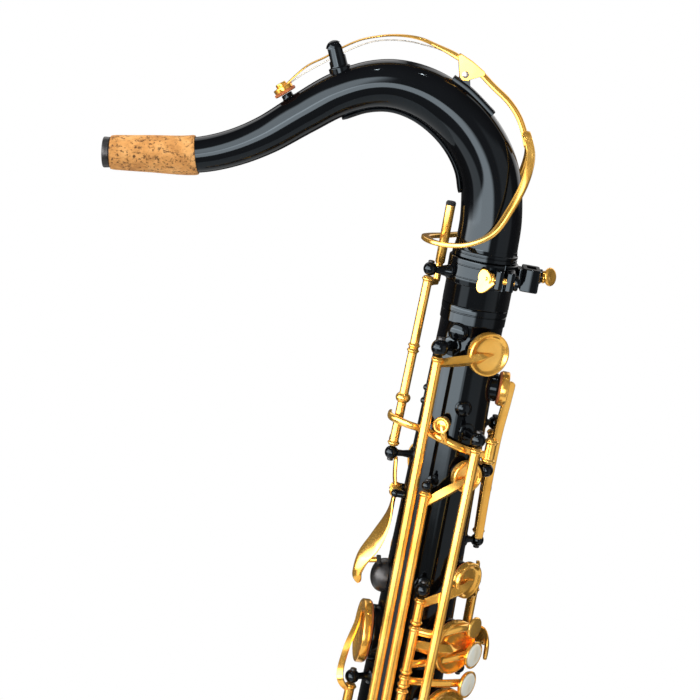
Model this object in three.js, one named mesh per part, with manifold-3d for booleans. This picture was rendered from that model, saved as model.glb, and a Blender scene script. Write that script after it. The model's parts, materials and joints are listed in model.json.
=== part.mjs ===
// Tenor saxophone: body tube, bow, bell, neck and the complete set of hinged keys.
// Millimetres, +Z up. The body tube stands on the Z axis of the inner design frame, whose
// zero height is the joint between neck and receiver. The mouthpiece end points along -X,
// the bell along +X, and the player's right hand side along -Y.
// Angles round the body tube are in degrees from +X towards +Y.
import * as THREE from "three";
import { mergeVertices } from "three/addons/utils/BufferGeometryUtils.js";
import Module from "manifold-3d";

const wasm = await Module();
wasm.setup();

// ---- Driving dimensions -------------------------------------------------------------

const GAP = 0.3; // between pieces that touch on the real instrument
const WALL = 1.2;

const BODY_TOP = -23;
const BODY_BOTTOM = -620;
const BODY_TOP_RADIUS = 15.2;
const BODY_TAPER_START = -37;
const BODY_TAPER = 0.0255;

const BELL_X = 112;
const BELL_RIM_Z = -335;
const BOW_RADIUS = BELL_X / 2;
const BOW_END_RADIUS = 38.5;

const HOLE_SIDES = 8;
const TUBE_SIDES = 16;
const BELL_SIDES = 20;
const RIM_RISE = 2.2; // tone hole rim above the tube wall
const CUP_HEIGHT = 5.2; // pad and cup together
const ROD_RADIUS = 2.4;
const POST_BALL = 3.5;
const ARM_WIDTH = 3.8;
const ARM_THICKNESS = 2.2;

const STRAP_RING_Z = -352;
const STRAP_RING_RADIUS = 8.5;
const STRAP_RING_BAR = 2.2;
const STRAP_RING_REACH = 9.5; // ring centre from the tube wall

const FINISHES = {
  black_lacquer: { color: 0x0b0c10, roughness: 0.12, metalness: 0.25 },
  gold_lacquer: { color: 0xd8a244, roughness: 0.2, metalness: 1.0 },
  cork: { color: 0xc08a55, roughness: 0.85, metalness: 0.0 },
  black_metal: { color: 0x1a1a1d, roughness: 0.35, metalness: 0.8 },
};

// ---- Vectors and profiles -----------------------------------------------------------

const vec = (x, y, z) => new THREE.Vector3(x, y, z);
const radians = THREE.MathUtils.degToRad;
const UP = vec(0, 0, 1);
const RIGHT_HAND = vec(0, -1, 0);
const LEFT_HAND = vec(0, 1, 0);

function polar(radius, degrees, z) {
  return vec(radius * Math.cos(radians(degrees)), radius * Math.sin(radians(degrees)), z);
}

function bodyRadius(z) {
  return BODY_TOP_RADIUS + BODY_TAPER * Math.max(0, BODY_TAPER_START - z);
}

// A point above the body tube's wall.
function onBody(degrees, z, above = 0) {
  return polar(bodyRadius(z) + above, degrees, z);
}

const outwards = (point) => vec(point.x, point.y, 0);

// ---- Solids -------------------------------------------------------------------------

function solid(geometry) {
  const bare = geometry.clone();
  bare.deleteAttribute("normal");
  bare.deleteAttribute("uv");
  const merged = mergeVertices(bare, 1e-3);
  const faces = [];
  const index = merged.index.array;
  for (let i = 0; i < index.length; i += 3) {
    const [a, b, c] = index.slice(i, i + 3);
    if (a !== b && b !== c && c !== a) faces.push(a, b, c);
  }
  const build = (triangles) =>
    new wasm.Manifold(
      new wasm.Mesh({
        numProp: 3,
        vertProperties: merged.attributes.position.array,
        triVerts: new Uint32Array(triangles),
      }),
    );
  const made = build(faces);
  return made.volume() > 0 ? made : build(faces.reverse());
}

function join(...parts) {
  return parts.flat().reduce((sum, part) => sum.add(part));
}

function cut(whole, ...tools) {
  return tools.flat().reduce((rest, tool) => rest.subtract(tool), whole);
}

function geometryOf(manifold) {
  const mesh = manifold.getMesh();
  const geometry = new THREE.BufferGeometry();
  const points = new Float32Array(mesh.numVert * 3);
  for (let i = 0; i < mesh.numVert; i++) {
    points.set(mesh.vertProperties.subarray(i * mesh.numProp, i * mesh.numProp + 3), i * 3);
  }
  geometry.setAttribute("position", new THREE.BufferAttribute(points, 3));
  geometry.setIndex(new THREE.BufferAttribute(new Uint32Array(mesh.triVerts), 1));
  return geometry;
}

// ---- Shapes -------------------------------------------------------------------------

function pointTo(geometry, from, direction) {
  const turn = new THREE.Quaternion().setFromUnitVectors(vec(0, 1, 0), direction.clone().normalize());
  geometry.applyQuaternion(turn);
  geometry.translate(from.x, from.y, from.z);
  return geometry;
}

function bar(from, to, radius, sides = 6, endRadius = radius) {
  const length = from.distanceTo(to);
  const geometry = new THREE.CylinderGeometry(endRadius, radius, length, sides);
  geometry.translate(0, length / 2, 0);
  return solid(pointTo(geometry, from, to.clone().sub(from)));
}

function ball(centre, radius, sides = 6, rings = 3) {
  const geometry = new THREE.SphereGeometry(radius, sides, rings);
  geometry.rotateX(Math.PI / 2);
  geometry.translate(centre.x, centre.y, centre.z);
  return solid(geometry);
}

// A profile of [radius, height] pairs turned about a line through centre along axis.
function turned(profile, centre, axis = UP, sides = 16) {
  const points = profile.map(([radius, height]) => new THREE.Vector2(radius, height));
  return solid(pointTo(new THREE.LatheGeometry(points, sides), centre, axis));
}

function block(centre, size, turnZ = 0) {
  const geometry = new THREE.BoxGeometry(size.x, size.y, size.z);
  geometry.rotateZ(radians(turnZ));
  geometry.translate(centre.x, centre.y, centre.z);
  return solid(geometry);
}

// Carries a geometry built round the Z axis, from z = -0.5 to 0.5, along a curve. facing
// gives the direction of the geometry's +Y side, and size scales its section.
function follow(geometry, curve, facing, size = () => 1) {
  const position = geometry.attributes.position;
  for (let i = 0; i < position.count; i++) {
    const t = THREE.MathUtils.clamp(position.getZ(i) + 0.5, 0, 1);
    const centre = curve.getPointAt(t);
    const tangent = curve.getTangentAt(t);
    const normal = typeof facing === "function" ? facing(centre) : facing.clone();
    normal.addScaledVector(tangent, -normal.dot(tangent)).normalize();
    const side = normal.clone().cross(tangent);
    const scale = size(t, Math.hypot(position.getX(i), position.getY(i)));
    centre.addScaledVector(side, position.getX(i) * scale);
    centre.addScaledVector(normal, position.getY(i) * scale);
    position.setXYZ(i, centre.x, centre.y, centre.z);
  }
  return solid(geometry);
}

function smooth(points, closed = false) {
  return new THREE.CatmullRomCurve3(points, closed, "centripetal");
}

// A flat bar whose wide side faces the given direction.
function strip(points, width, thickness, facing, steps = 3 * (points.length - 1), size) {
  const geometry = new THREE.BoxGeometry(width, thickness, 1, 1, 1, steps);
  return follow(geometry, smooth(points), facing, size);
}

// An open ended tube along a curve.
function pipe(curve, radiusAt, wall, facing, sides, steps) {
  const profile = [];
  for (let i = 0; i <= steps; i++) profile.push(new THREE.Vector2(2, i / steps - 0.5));
  for (let i = steps; i >= 0; i--) profile.push(new THREE.Vector2(1, i / steps - 0.5));
  profile.push(profile[0].clone());
  const geometry = new THREE.LatheGeometry(profile, sides);
  geometry.rotateX(Math.PI / 2);
  return follow(geometry, curve, facing, (t, mark) =>
    mark > 1.5 ? radiusAt(t) / 2 : radiusAt(t) - wall,
  );
}

// Linear interpolation in a list of [position, value] pairs in rising order.
function between(pairs, at) {
  const next = pairs.findIndex(([position]) => position >= at);
  if (next <= 0) return next === 0 ? pairs[0][1] : pairs[pairs.length - 1][1];
  const [p0, v0] = pairs[next - 1];
  const [p1, v1] = pairs[next];
  return v0 + ((v1 - v0) * (at - p0)) / (p1 - p0);
}

// ---- Scene --------------------------------------------------------------------------

const design = new THREE.Group();

function addNode(name, manifold, finish) {
  const mesh = new THREE.Mesh(geometryOf(manifold), new THREE.MeshStandardMaterial(FINISHES[finish]));
  mesh.name = name;
  design.add(mesh);
  return mesh;
}

// A hinged piece: its own origin lies on its hinge, and it stands turned by rest degrees
// from the position it was drawn in.
function addHinged(name, manifold, finish, hinge) {
  const mesh = addNode(name, manifold, finish);
  mesh.geometry.translate(-hinge.point.x, -hinge.point.y, -hinge.point.z);
  mesh.position.copy(hinge.point);
  mesh.quaternion.setFromAxisAngle(hinge.axis, radians(hinge.rest));
  mesh.userData.hinge = { point: hinge.point.toArray(), axis: hinge.axis.toArray(), range: hinge.range };
}

// ---- Tone holes ---------------------------------------------------------------------

// Each hole: the middle of its flat rim, the direction it faces and its outer radius.
function bodyHole(degrees, z, radius) {
  return { seat: onBody(degrees, z, RIM_RISE), normal: polar(1, degrees, 0), radius };
}

const BELL_PROFILE = [
  [-620, 38.5],
  [-550, 40.6],
  [-460, 46.6],
  [-420, 51.4],
  [-390, 57],
  [-350, 70],
  [-341, 74.6],
  [BELL_RIM_Z, 77.4],
];

function bellRadius(z) {
  return between(BELL_PROFILE, z);
}

function bellHole(side, z, radius) {
  const seat = vec(BELL_X, 0, z).addScaledVector(side, bellRadius(z) + RIM_RISE);
  return { seat, normal: side.clone(), radius };
}

const LOW_C_BOW_ANGLE = 40;

function bowCentre(degrees) {
  const a = radians(degrees);
  return vec(BOW_RADIUS * (1 - Math.cos(a)), 0, BODY_BOTTOM - BOW_RADIUS * Math.sin(a));
}

// The half circle that joins the body tube to the bell.
class BowCurve extends THREE.Curve {
  getPoint(t, target = new THREE.Vector3()) {
    return target.copy(bowCentre(180 * t));
  }

  getTangent(t, target = new THREE.Vector3()) {
    return target.set(Math.sin(Math.PI * t), 0, -Math.cos(Math.PI * t));
  }
}

function bowTubeRadius(t) {
  return THREE.MathUtils.lerp(bodyRadius(BODY_BOTTOM), BOW_END_RADIUS, t);
}

const HOLES = {
  high_e: bodyHole(-63, -42, 8.4),
  palm_f: bodyHole(0, -61, 6.8),
  palm_e_flat: bodyHole(65, -92, 7),
  palm_d: bodyHole(65, -130, 7.6),
  high_f_sharp: bodyHole(-62, -102, 5.6),
  small_c: bodyHole(-34, -154, 7.4),
  b: bodyHole(-38, -188, 12),
  a: bodyHole(-38, -224, 12.8),
  g: bodyHole(-38, -262, 13.6),
  side_b_flat: bodyHole(180, -193, 13.6),
  side_c: bodyHole(-55, -303, 8),
  g_sharp: bodyHole(35, -296, 13),
  f_sharp: bodyHole(-62, -352, 16),
  f: bodyHole(-62, -393, 17),
  e: bodyHole(-62, -437, 18),
  d: bodyHole(-62, -484, 19.3),
  e_flat: bodyHole(-62, -548, 16.5),
};
const BELL_HOLES = {
  low_c_sharp: bellHole(LEFT_HAND, -575, 20),
  low_b: bellHole(RIGHT_HAND, -545, 21),
  low_b_flat: bellHole(RIGHT_HAND, -487, 22),
};
const LOW_C_HOLE = {
  seat: bowCentre(LOW_C_BOW_ANGLE).addScaledVector(
    RIGHT_HAND,
    bowTubeRadius(LOW_C_BOW_ANGLE / 180) + RIM_RISE,
  ),
  normal: RIGHT_HAND.clone(),
  radius: 19.5,
};

function chimney({ seat, normal, radius }) {
  const depth = radius < 8 ? 6 : radius * 0.62 + 3;
  return bar(seat.clone().addScaledVector(normal, -depth), seat, radius, HOLE_SIDES);
}

function holeBore({ seat, normal, radius }) {
  const from = seat.clone().addScaledVector(normal, -radius * 0.7 - 6);
  return bar(from, seat.clone().addScaledVector(normal, 1), radius - WALL, HOLE_SIDES);
}

// ---- Posts --------------------------------------------------------------------------

// A turned post on the body tube with its ball at the given place.
function post(centre, ballRadius = POST_BALL, wallRadius = bodyRadius(centre.z)) {
  const foot = outwards(centre).setLength(wallRadius - 0.6).setZ(centre.z);
  return [bar(foot, centre, ballRadius * 0.8, 4, ballRadius * 0.5), ball(centre, ballRadius)];
}

// The middle of the ball that holds one end of a rod, clear of the sleeve.
function ballPlace({ top, bottom }, end, ballRadius) {
  const along = top.clone().sub(bottom).normalize();
  const sign = end === top ? 1 : -1;
  return end.clone().addScaledVector(along, sign * (ballRadius + GAP));
}

function postsOf(rod, ballRadius = POST_BALL) {
  return [rod.top, rod.bottom].map((end) => post(ballPlace(rod, end, ballRadius), ballRadius)).flat();
}

// ---- Key pieces ---------------------------------------------------------------------

function padCup(hole, overhang = 2.1) {
  const r = hole.radius + overhang;
  const profile = [
    [0, 0],
    [r, 0.4],
    [r, 3.2],
    [0, CUP_HEIGHT],
  ];
  return turned(profile, hole.seat.clone().addScaledVector(hole.normal, GAP), hole.normal, HOLE_SIDES);
}

function rodPoint({ top, bottom }, z) {
  return bottom.clone().lerp(top, (z - bottom.z) / (top.z - bottom.z));
}

// The arm from a rod over the rim of a cup to its middle.
function cupArm(rod, hole, fromZ = hole.seat.z, width = ARM_WIDTH) {
  const start = rodPoint(rod, fromZ);
  const centre = hole.seat.clone().addScaledVector(hole.normal, CUP_HEIGHT);
  const reach = start.clone().sub(hole.seat);
  reach.addScaledVector(hole.normal, -reach.dot(hole.normal)).normalize();
  const rim = centre.clone().addScaledVector(reach, hole.radius * 0.8);
  rim.addScaledVector(hole.normal, 0.9);
  const end = centre.clone().addScaledVector(reach, -hole.radius * 0.25);
  return strip([start, rim, centre, end], width, ARM_THICKNESS, hole.normal, 4);
}

function sleeve({ top, bottom }, radius = ROD_RADIUS) {
  return bar(bottom, top, radius);
}

function pearl(centre, normal, radius = 7) {
  const profile = [
    [0, -2],
    [radius, -0.4],
    [radius, 1.2],
    [0, 2.2],
  ];
  return turned(profile, centre, normal, 10);
}

// A finger plate that widens towards its middle.
function paddle(points, width, facing, thickness = 2.4) {
  const swell = (t) => 0.55 + 0.45 * Math.sin(Math.PI * Math.min(1, t * 1.15));
  const geometry = new THREE.BoxGeometry(width, thickness, 1, 1, 1, 5);
  return follow(geometry, smooth(points), facing, swell);
}

// A key on a rod. It is drawn shut on its tone hole, and its axis points so that a
// positive turn lifts the cup. An open standing key rests turned up.
function addKey(name, rod, hole, lift, standsOpen, pieces) {
  const axis = rod.top.clone().sub(rod.bottom).normalize();
  const arm = hole.seat.clone().sub(rod.bottom);
  if (axis.clone().cross(arm).dot(hole.normal) < 0) axis.negate();
  addHinged(name, join(sleeve(rod), ...pieces), "gold_lacquer", {
    point: rod.bottom,
    axis,
    rest: standsOpen ? lift : 0,
    range: standsOpen ? [-lift, 0] : [0, lift],
  });
}

// ---- Neck ---------------------------------------------------------------------------

const NECK_PATH = smooth([
  vec(-183, 0, 17.7),
  vec(-165, 0, 20.3),
  vec(-142.4, 0, 23.8),
  vec(-126.3, 0, 30.1),
  vec(-112, 0, 38.9),
  vec(-96, 0, 52.3),
  vec(-82.2, 0, 63.3),
  vec(-68, 0, 70.6),
  vec(-55.5, 0, 73),
  vec(-41.6, 0, 71.2),
  vec(-27.9, 0, 65.2),
  vec(-17.8, 0, 57.6),
  vec(-9.4, 0, 47.6),
  vec(-4, 0, 36.7),
  vec(-0.5, 0, 19.4),
  vec(0, 0, 8),
  vec(0, 0, 0),
]);
const NECK_RADII = [
  [0, 7],
  [0.169, 8.5],
  [0.24, 8.75],
  [0.3, 9.1],
  [0.39, 9.9],
  [0.463, 10.4],
  [0.574, 11.6],
  [0.695, 12.9],
  [0.797, 13.8],
  [0.918, 14.7],
  [1, 14.9],
];
const CORK_START_RADIUS = 8.15;
const CORK_END_RADIUS = 9.5;
const CORK_SHARE = 0.166; // of the neck's length
const TENON_RADIUS = 13.9;
const TENON_LENGTH = 20;
const COLLAR_RADIUS = 15.6;
const COLLAR_HEIGHT = 5.8;
const RING_LENGTH = 3.4;
const RING_RADIUS = 7.2;

function buildNeck() {
  const tube = pipe(NECK_PATH, (t) => between(NECK_RADII, t), WALL, LEFT_HAND, 14, 20);
  const collarProfile = [
    [TENON_RADIUS - WALL, -TENON_LENGTH],
    [TENON_RADIUS, -TENON_LENGTH],
    [TENON_RADIUS, 0],
    [COLLAR_RADIUS, 0],
    [COLLAR_RADIUS, COLLAR_HEIGHT],
    [14.2, COLLAR_HEIGHT],
    [TENON_RADIUS - WALL, 0],
    [TENON_RADIUS - WALL, -TENON_LENGTH],
  ];
  const collar = turned(collarProfile, vec(0, 0, 0), UP, 14);
  const { pip, guide, saddle } = buildNeckFittings();
  addNode("neck_tube", join(tube, collar), "black_lacquer");

  const corkPath = smooth([0, 0.3, 0.6, 1].map((share) => NECK_PATH.getPointAt(share * CORK_SHARE)));
  const corkOuter = follow(upright(1, 14, 3), corkPath, LEFT_HAND, (t) =>
    THREE.MathUtils.lerp(CORK_START_RADIUS, CORK_END_RADIUS, t),
  );
  const corkBore = follow(
    upright(1, 14, 6),
    smooth([-0.02, 0.3, 0.6, 1.1].map((share) => alongNeck(share * CORK_SHARE))),
    LEFT_HAND,
    (t) => between(NECK_RADII, (t * 1.12 - 0.02) * CORK_SHARE) + 2 * GAP,
  );
  addNode("neck_cork", cut(corkOuter, corkBore), "cork");

  const tangent = NECK_PATH.getTangentAt(0);
  const endProfile = [
    [RING_RADIUS - 1.6, GAP],
    [RING_RADIUS, GAP],
    [RING_RADIUS, RING_LENGTH],
    [RING_RADIUS - 1.6, RING_LENGTH],
    [RING_RADIUS - 1.6, GAP],
  ];
  const end = turned(endProfile, NECK_PATH.getPointAt(0), tangent.clone().negate(), 12);
  addNode("neck_end_ring", end, "black_metal");
  addNode("neck_octave_pip", pip, "black_lacquer");
  addNode("octave_key_guide", guide, "black_lacquer");
  addNode("neck_key_saddle", saddle, "black_lacquer");
  addNode("neck_brace", buildBrace(), "black_lacquer");
}

function upright(radius, sides, steps) {
  const geometry = new THREE.CylinderGeometry(radius, radius, 1, sides, steps);
  return geometry.rotateX(Math.PI / 2);
}

// A place on the neck's centre line, straight on past its small end.
function alongNeck(share) {
  if (share >= 0) return NECK_PATH.getPointAt(share);
  return NECK_PATH.getPointAt(0).addScaledVector(NECK_PATH.getTangentAt(0), share * NECK_PATH.getLength());
}

// The strip under the inside of the neck's bend.
function buildBrace() {
  const points = [];
  for (let t = 0.46; t <= 0.91; t += 0.07) {
    const tangent = NECK_PATH.getTangentAt(t);
    const inward = vec(tangent.z, 0, -tangent.x).negate();
    points.push(NECK_PATH.getPointAt(t).addScaledVector(inward, -between(NECK_RADII, t) - 1.5));
  }
  return strip(points, 7, 1.9, (p) => p.clone().sub(vec(-60, 0, 20)), 10);
}

const PIP_BASE = vec(-103.5, 0, 57);
const PIP_TOP = vec(-105.7, 0, 59.6);
const GUIDE_BASE = vec(-82.4, 0, 74.1);
const GUIDE_TOP = vec(-88.6, 0, 87.8);
const NECK_HINGE = vec(-25.1, 0, 83.5);
const LUG_HALF_WIDTH = 3.6;
const CHEEK_THICKNESS = 1.6;
const ROOT_DEPTH = 3; // how far a fitting reaches below its flange, before the tube is cut away

function neckSkin(margin) {
  return follow(upright(1, 14, 20), NECK_PATH, LEFT_HAND, (t) => between(NECK_RADII, t) + margin);
}

function buildNeckFittings() {
  const skin = neckSkin(GAP);
  const pipAlong = PIP_TOP.clone().sub(PIP_BASE).normalize();
  const pip = cut(bar(PIP_BASE.clone().addScaledVector(pipAlong, -ROOT_DEPTH), PIP_TOP, 3.4, 8, 2.6), skin);
  const along = GUIDE_TOP.clone().sub(GUIDE_BASE).normalize();
  const root = GUIDE_BASE.clone().addScaledVector(along, -ROOT_DEPTH);
  const flange = bar(root, GUIDE_BASE.clone().addScaledVector(along, 2.6), 5.2, 10);
  const stem = bar(GUIDE_BASE, GUIDE_TOP.clone().addScaledVector(along, -2), 4.15, 10);
  const dome = ball(GUIDE_TOP.clone().addScaledVector(along, -3.6), 4.15, 10, 6);
  const slot = strip(
    [vec(-101.3, 0, 70.8), vec(-94.2, 0, 76.4), vec(-86.1, 0, 83.3), vec(-76, 0, 90)],
    5,
    6.1,
    vec(-0.6, 0, 0.8),
    6,
  );
  const guide = cut(join(flange, stem, dome), skin, slot);
  const plate = strip(
    [vec(-30, 0, 80.4), vec(-20.9, 0, 75.8), vec(-9.2, 0, 67.4)],
    11,
    3.4,
    vec(0.5, 0, 0.85),
    6,
  );
  const lug = bar(
    vec(NECK_HINGE.x, -LUG_HALF_WIDTH, NECK_HINGE.z),
    vec(NECK_HINGE.x, LUG_HALF_WIDTH, NECK_HINGE.z),
    2.3,
    8,
  );
  const web = block(vec(NECK_HINGE.x, 0, NECK_HINGE.z - 3.5), vec(3.6, 2 * LUG_HALF_WIDTH, 6));
  const saddle = cut(join(plate, lug, web), skin);
  return { pip, guide: largest(guide), saddle: largest(saddle) };
}

function largest(manifold) {
  return manifold.decompose().reduce((a, b) => (a.volume() > b.volume() ? a : b));
}

function buildNeckOctaveKey() {
  const strap = strip(
    [
      vec(-107.9, 0, 62.2),
      vec(-98.4, 0, 73.8),
      vec(-84.1, 0, 84.8),
      vec(-69, 0, 92.7),
      vec(-54, 0, 95.6),
      vec(-40.3, 0, 93.5),
      vec(-31.8, 0, 91.3),
      vec(-19.9, 0, 86.2),
      vec(-11.4, 0, 80.3),
      vec(-3, 0, 74.6),
      vec(3.2, 0, 68.3),
      vec(7.8, 0, 61.4),
    ],
    3.6,
    2,
    (p) => p.clone().sub(vec(-50, 0, 20)),
    16,
  );
  const half = [
    vec(7.8, 0, 61.4),
    vec(11.6, -9, 52.6),
    vec(10.8, -16, 40.6),
    vec(6.6, -19, 27.4),
    vec(0.3, -19.6, 14.5),
    vec(-9.5, -19, 7.7),
    vec(-18.9, -16, 5.2),
    vec(-26.3, -9.5, 4.6),
  ];
  const mirrored = half.slice(1).reverse().map((p) => vec(p.x, -p.y, p.z));
  const loopCurve = smooth([...half, vec(-29.3, 0, 4.8), ...mirrored], true);
  const ring = new THREE.ExtrudeGeometry(roundShape(1.6, 5), {
    steps: 32,
    bevelEnabled: false,
    extrudePath: loopCurve,
  });
  const cheekInside = LUG_HALF_WIDTH + GAP;
  const cheeks = [cheekInside, -cheekInside - CHEEK_THICKNESS].map((y) => {
    const side = new THREE.Shape([
      new THREE.Vector2(-29.4, 91),
      new THREE.Vector2(-27.4, 82),
      new THREE.Vector2(-25.1, 80.9),
      new THREE.Vector2(-22.6, 82),
      new THREE.Vector2(-16.3, 84.6),
    ]);
    const geometry = new THREE.ExtrudeGeometry(side, { depth: CHEEK_THICKNESS, bevelEnabled: false });
    geometry.rotateX(Math.PI / 2);
    geometry.translate(0, y + CHEEK_THICKNESS, 0);
    return solid(geometry);
  });
  const cheekWidth = 2 * (cheekInside + CHEEK_THICKNESS);
  const crown = strip(
    [vec(-29.8, 0, 90.6), vec(-23.4, 0, 88), vec(-16.6, 0, 84.6)],
    cheekWidth,
    1.4,
    vec(0.4, 0, 0.9),
    4,
  );
  const direction = PIP_TOP.clone().sub(PIP_BASE).normalize();
  const seat = PIP_TOP.clone().addScaledVector(direction, GAP);
  const cup = turned([[0, 0], [5.4, 0], [5.4, 1.5], [4.7, 1.6], [4.7, 4.2], [0, 4.8]], seat, direction, 10);
  addHinged("neck_octave_key", join(strap, solid(ring), ...cheeks, crown, cup), "gold_lacquer", {
    point: NECK_HINGE,
    axis: vec(0, 1, 0),
    rest: 0,
    range: [0, 1.4],
  });
}

function roundShape(radius, sides) {
  const corners = [];
  for (let i = 0; i < sides; i++) {
    const a = (2 * Math.PI * i) / sides;
    corners.push(new THREE.Vector2(radius * Math.cos(a), radius * Math.sin(a)));
  }
  return new THREE.Shape(corners);
}

// ---- Receiver, clamp and lyre holder ------------------------------------------------

const RECEIVER_RADIUS = 16;
const CLAMP_RADIUS = 16.6;
const CLAMP_DEPTH = 11.8;
const CLAMP_SCREW = vec(9.5, -22.9, -5.9);
const THUMB_PLATE = vec(0.6, -22.9, -7);
const LUG_Z = -5.8;
const LYRE_BLOCK = vec(23, 0, -6.1);
const LYRE_SCREW_Z = -4;
const LYRE_SIZE = vec(8.6, 15, 11);
const LYRE_SOCKET = vec(4.6, 8, 14);

function buildReceiver() {
  const bore = TENON_RADIUS + GAP;
  const profile = [
    [bore, BODY_TOP + GAP],
    [RECEIVER_RADIUS, BODY_TOP + GAP],
    [RECEIVER_RADIUS, -CLAMP_DEPTH],
    [CLAMP_RADIUS, -CLAMP_DEPTH],
    [CLAMP_RADIUS, -GAP],
    [bore, -GAP],
    [bore, BODY_TOP + GAP],
  ];
  const sleeveWall = turned(profile, vec(0, 0, 0), UP, TUBE_SIDES);
  const nearLug = block(vec(7.35, -19.8, LUG_Z), vec(3.9, 9.8, 9));
  const farLug = block(vec(12.65, -18, LUG_Z), vec(3.9, 13.4, 9));
  const slit = block(vec(10, -15, -6.5), vec(1.4, 8, 13.2));
  const onClamp = (x) => CLAMP_SCREW.clone().setX(x);
  const screwHole = bar(onClamp(0), onClamp(20), 1.9, 10);
  const octavePost = post(ballPlace(RODS.octave, RODS.octave.top, OCTAVE_BALL), OCTAVE_BALL, CLAMP_RADIUS);
  const outside = cut(join(nearLug, farLug, ...octavePost), boreTool(bore));
  addNode("neck_receiver", cut(join(sleeveWall, outside), slit, screwHole), "black_lacquer");

  const shaft = bar(onClamp(1), onClamp(16.4), 1.5, 8);
  const collar = bar(onClamp(2.6), onClamp(4.9), 2.8, 10);
  const headProfile = [[0, -1.1], [3.8, -1.1], [4.3, 0], [3.8, 1.1], [0, 1.1]];
  const head = turned(headProfile, THUMB_PLATE, RIGHT_HAND, 12);
  addHinged("clamp_screw", join(shaft, collar, head), "gold_lacquer", {
    point: onClamp(0),
    axis: vec(1, 0, 0),
    rest: 0,
    range: [0, 150],
  });

  const bridge = block(vec(17.9, 0, LYRE_BLOCK.z), vec(1.8, 11, 9));
  const holder = join(block(LYRE_BLOCK, LYRE_SIZE), bridge);
  const socket = block(LYRE_BLOCK, LYRE_SOCKET);
  const thread = bar(LYRE_BLOCK.clone().setZ(LYRE_SCREW_Z), vec(32, 0, LYRE_SCREW_Z), 2.3, 10);
  addNode("lyre_holder", cut(holder, socket, thread, boreTool(CLAMP_RADIUS + GAP)), "black_lacquer");

  const onScrew = (x) => vec(x, 0, LYRE_SCREW_Z);
  const lyreShaft = bar(onScrew(25.4), onScrew(30), 1.9, 8);
  const lyreNeck = bar(onScrew(27.7), onScrew(28.8), 3, 10);
  const lyreHead = turned([[0, -1], [3.8, -1], [4.4, 0], [3.8, 1], [0, 1]], onScrew(32.4), RIGHT_HAND, 12);
  addHinged("lyre_screw", join(lyreShaft, lyreNeck, lyreHead), "gold_lacquer", {
    point: onScrew(27),
    axis: vec(1, 0, 0),
    rest: 0,
    range: [0, 180],
  });
}

function boreTool(radius) {
  return bar(vec(0, 0, -40), vec(0, 0, 30), radius, 24);
}

// ---- Rods ---------------------------------------------------------------------------

function rodOnBody(degrees, above, topZ, bottomZ) {
  return { top: onBody(degrees, topZ, above), bottom: onBody(degrees, bottomZ, above) };
}

// The part of a rod between two heights.
function piece(rod, topZ, bottomZ) {
  return { top: rodPoint(rod, topZ), bottom: rodPoint(rod, bottomZ) };
}

const OCTAVE_BALL = 3.3;
const SIDE_END = -322;
const RODS = {
  high_e: { top: vec(-13.7, -23, -46.5), bottom: vec(-14.2, -31.6, SIDE_END) },
  high_f_sharp: { top: vec(-7.6, -25.8, -111), bottom: vec(-7.8, -32.2, SIDE_END) },
  side_c: { top: vec(11.8, -27, -85.5), bottom: vec(8.1, -37, SIDE_END) },
  side_b_flat: rodOnBody(-150, 9.5, -217, SIDE_END),
  palm_e_flat: rodOnBody(112, 7.5, -78, -104),
  palm_d: rodOnBody(112, 7.5, -116, -150),
  palm_f: { top: vec(21, 9, -84), bottom: vec(23.4, 8, -136.5) },
  front_f: { top: vec(26.8, 11, -165), bottom: vec(27.2, 11, -205) },
  octave: { top: vec(-24.6, -8.4, -12), bottom: vec(-26.4, -8.6, -96) },
  upper_stack: { top: vec(-0.1, -25, -163.5), bottom: vec(-1.4, -29.5, -284) },
  g_sharp: rodOnBody(85, 7.5, -282, -342),
  lower_stack: rodOnBody(-118, 8, -336, -512),
  e_flat: rodOnBody(-120, 8, -521, -566),
  low_c: rodOnBody(-136, 8, -505, -604),
  low_b: { top: vec(60, -35, -446), bottom: vec(60, -35, -576) },
  low_b_flat: { top: vec(69, -39, -430), bottom: vec(69, -39, -515) },
  low_c_sharp: { top: vec(69, 38, -440), bottom: vec(69, 38, -600) },
};
const TABLE_DEGREES = 88;
const TABLE_TOP = -352;
const TABLE_STEP = 24;

// ---- Body ---------------------------------------------------------------------------

const VENT = { degrees: -106, z: -79, radius: 2.6 };
const PIVOT_POST_Z = -98.5;
const ROCKER_ROD = { top: polar(24, -36, -83), bottom: polar(24, -36, -95) };
const THUMB_HINGE = vec(-20.9, 0, -120);

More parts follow.
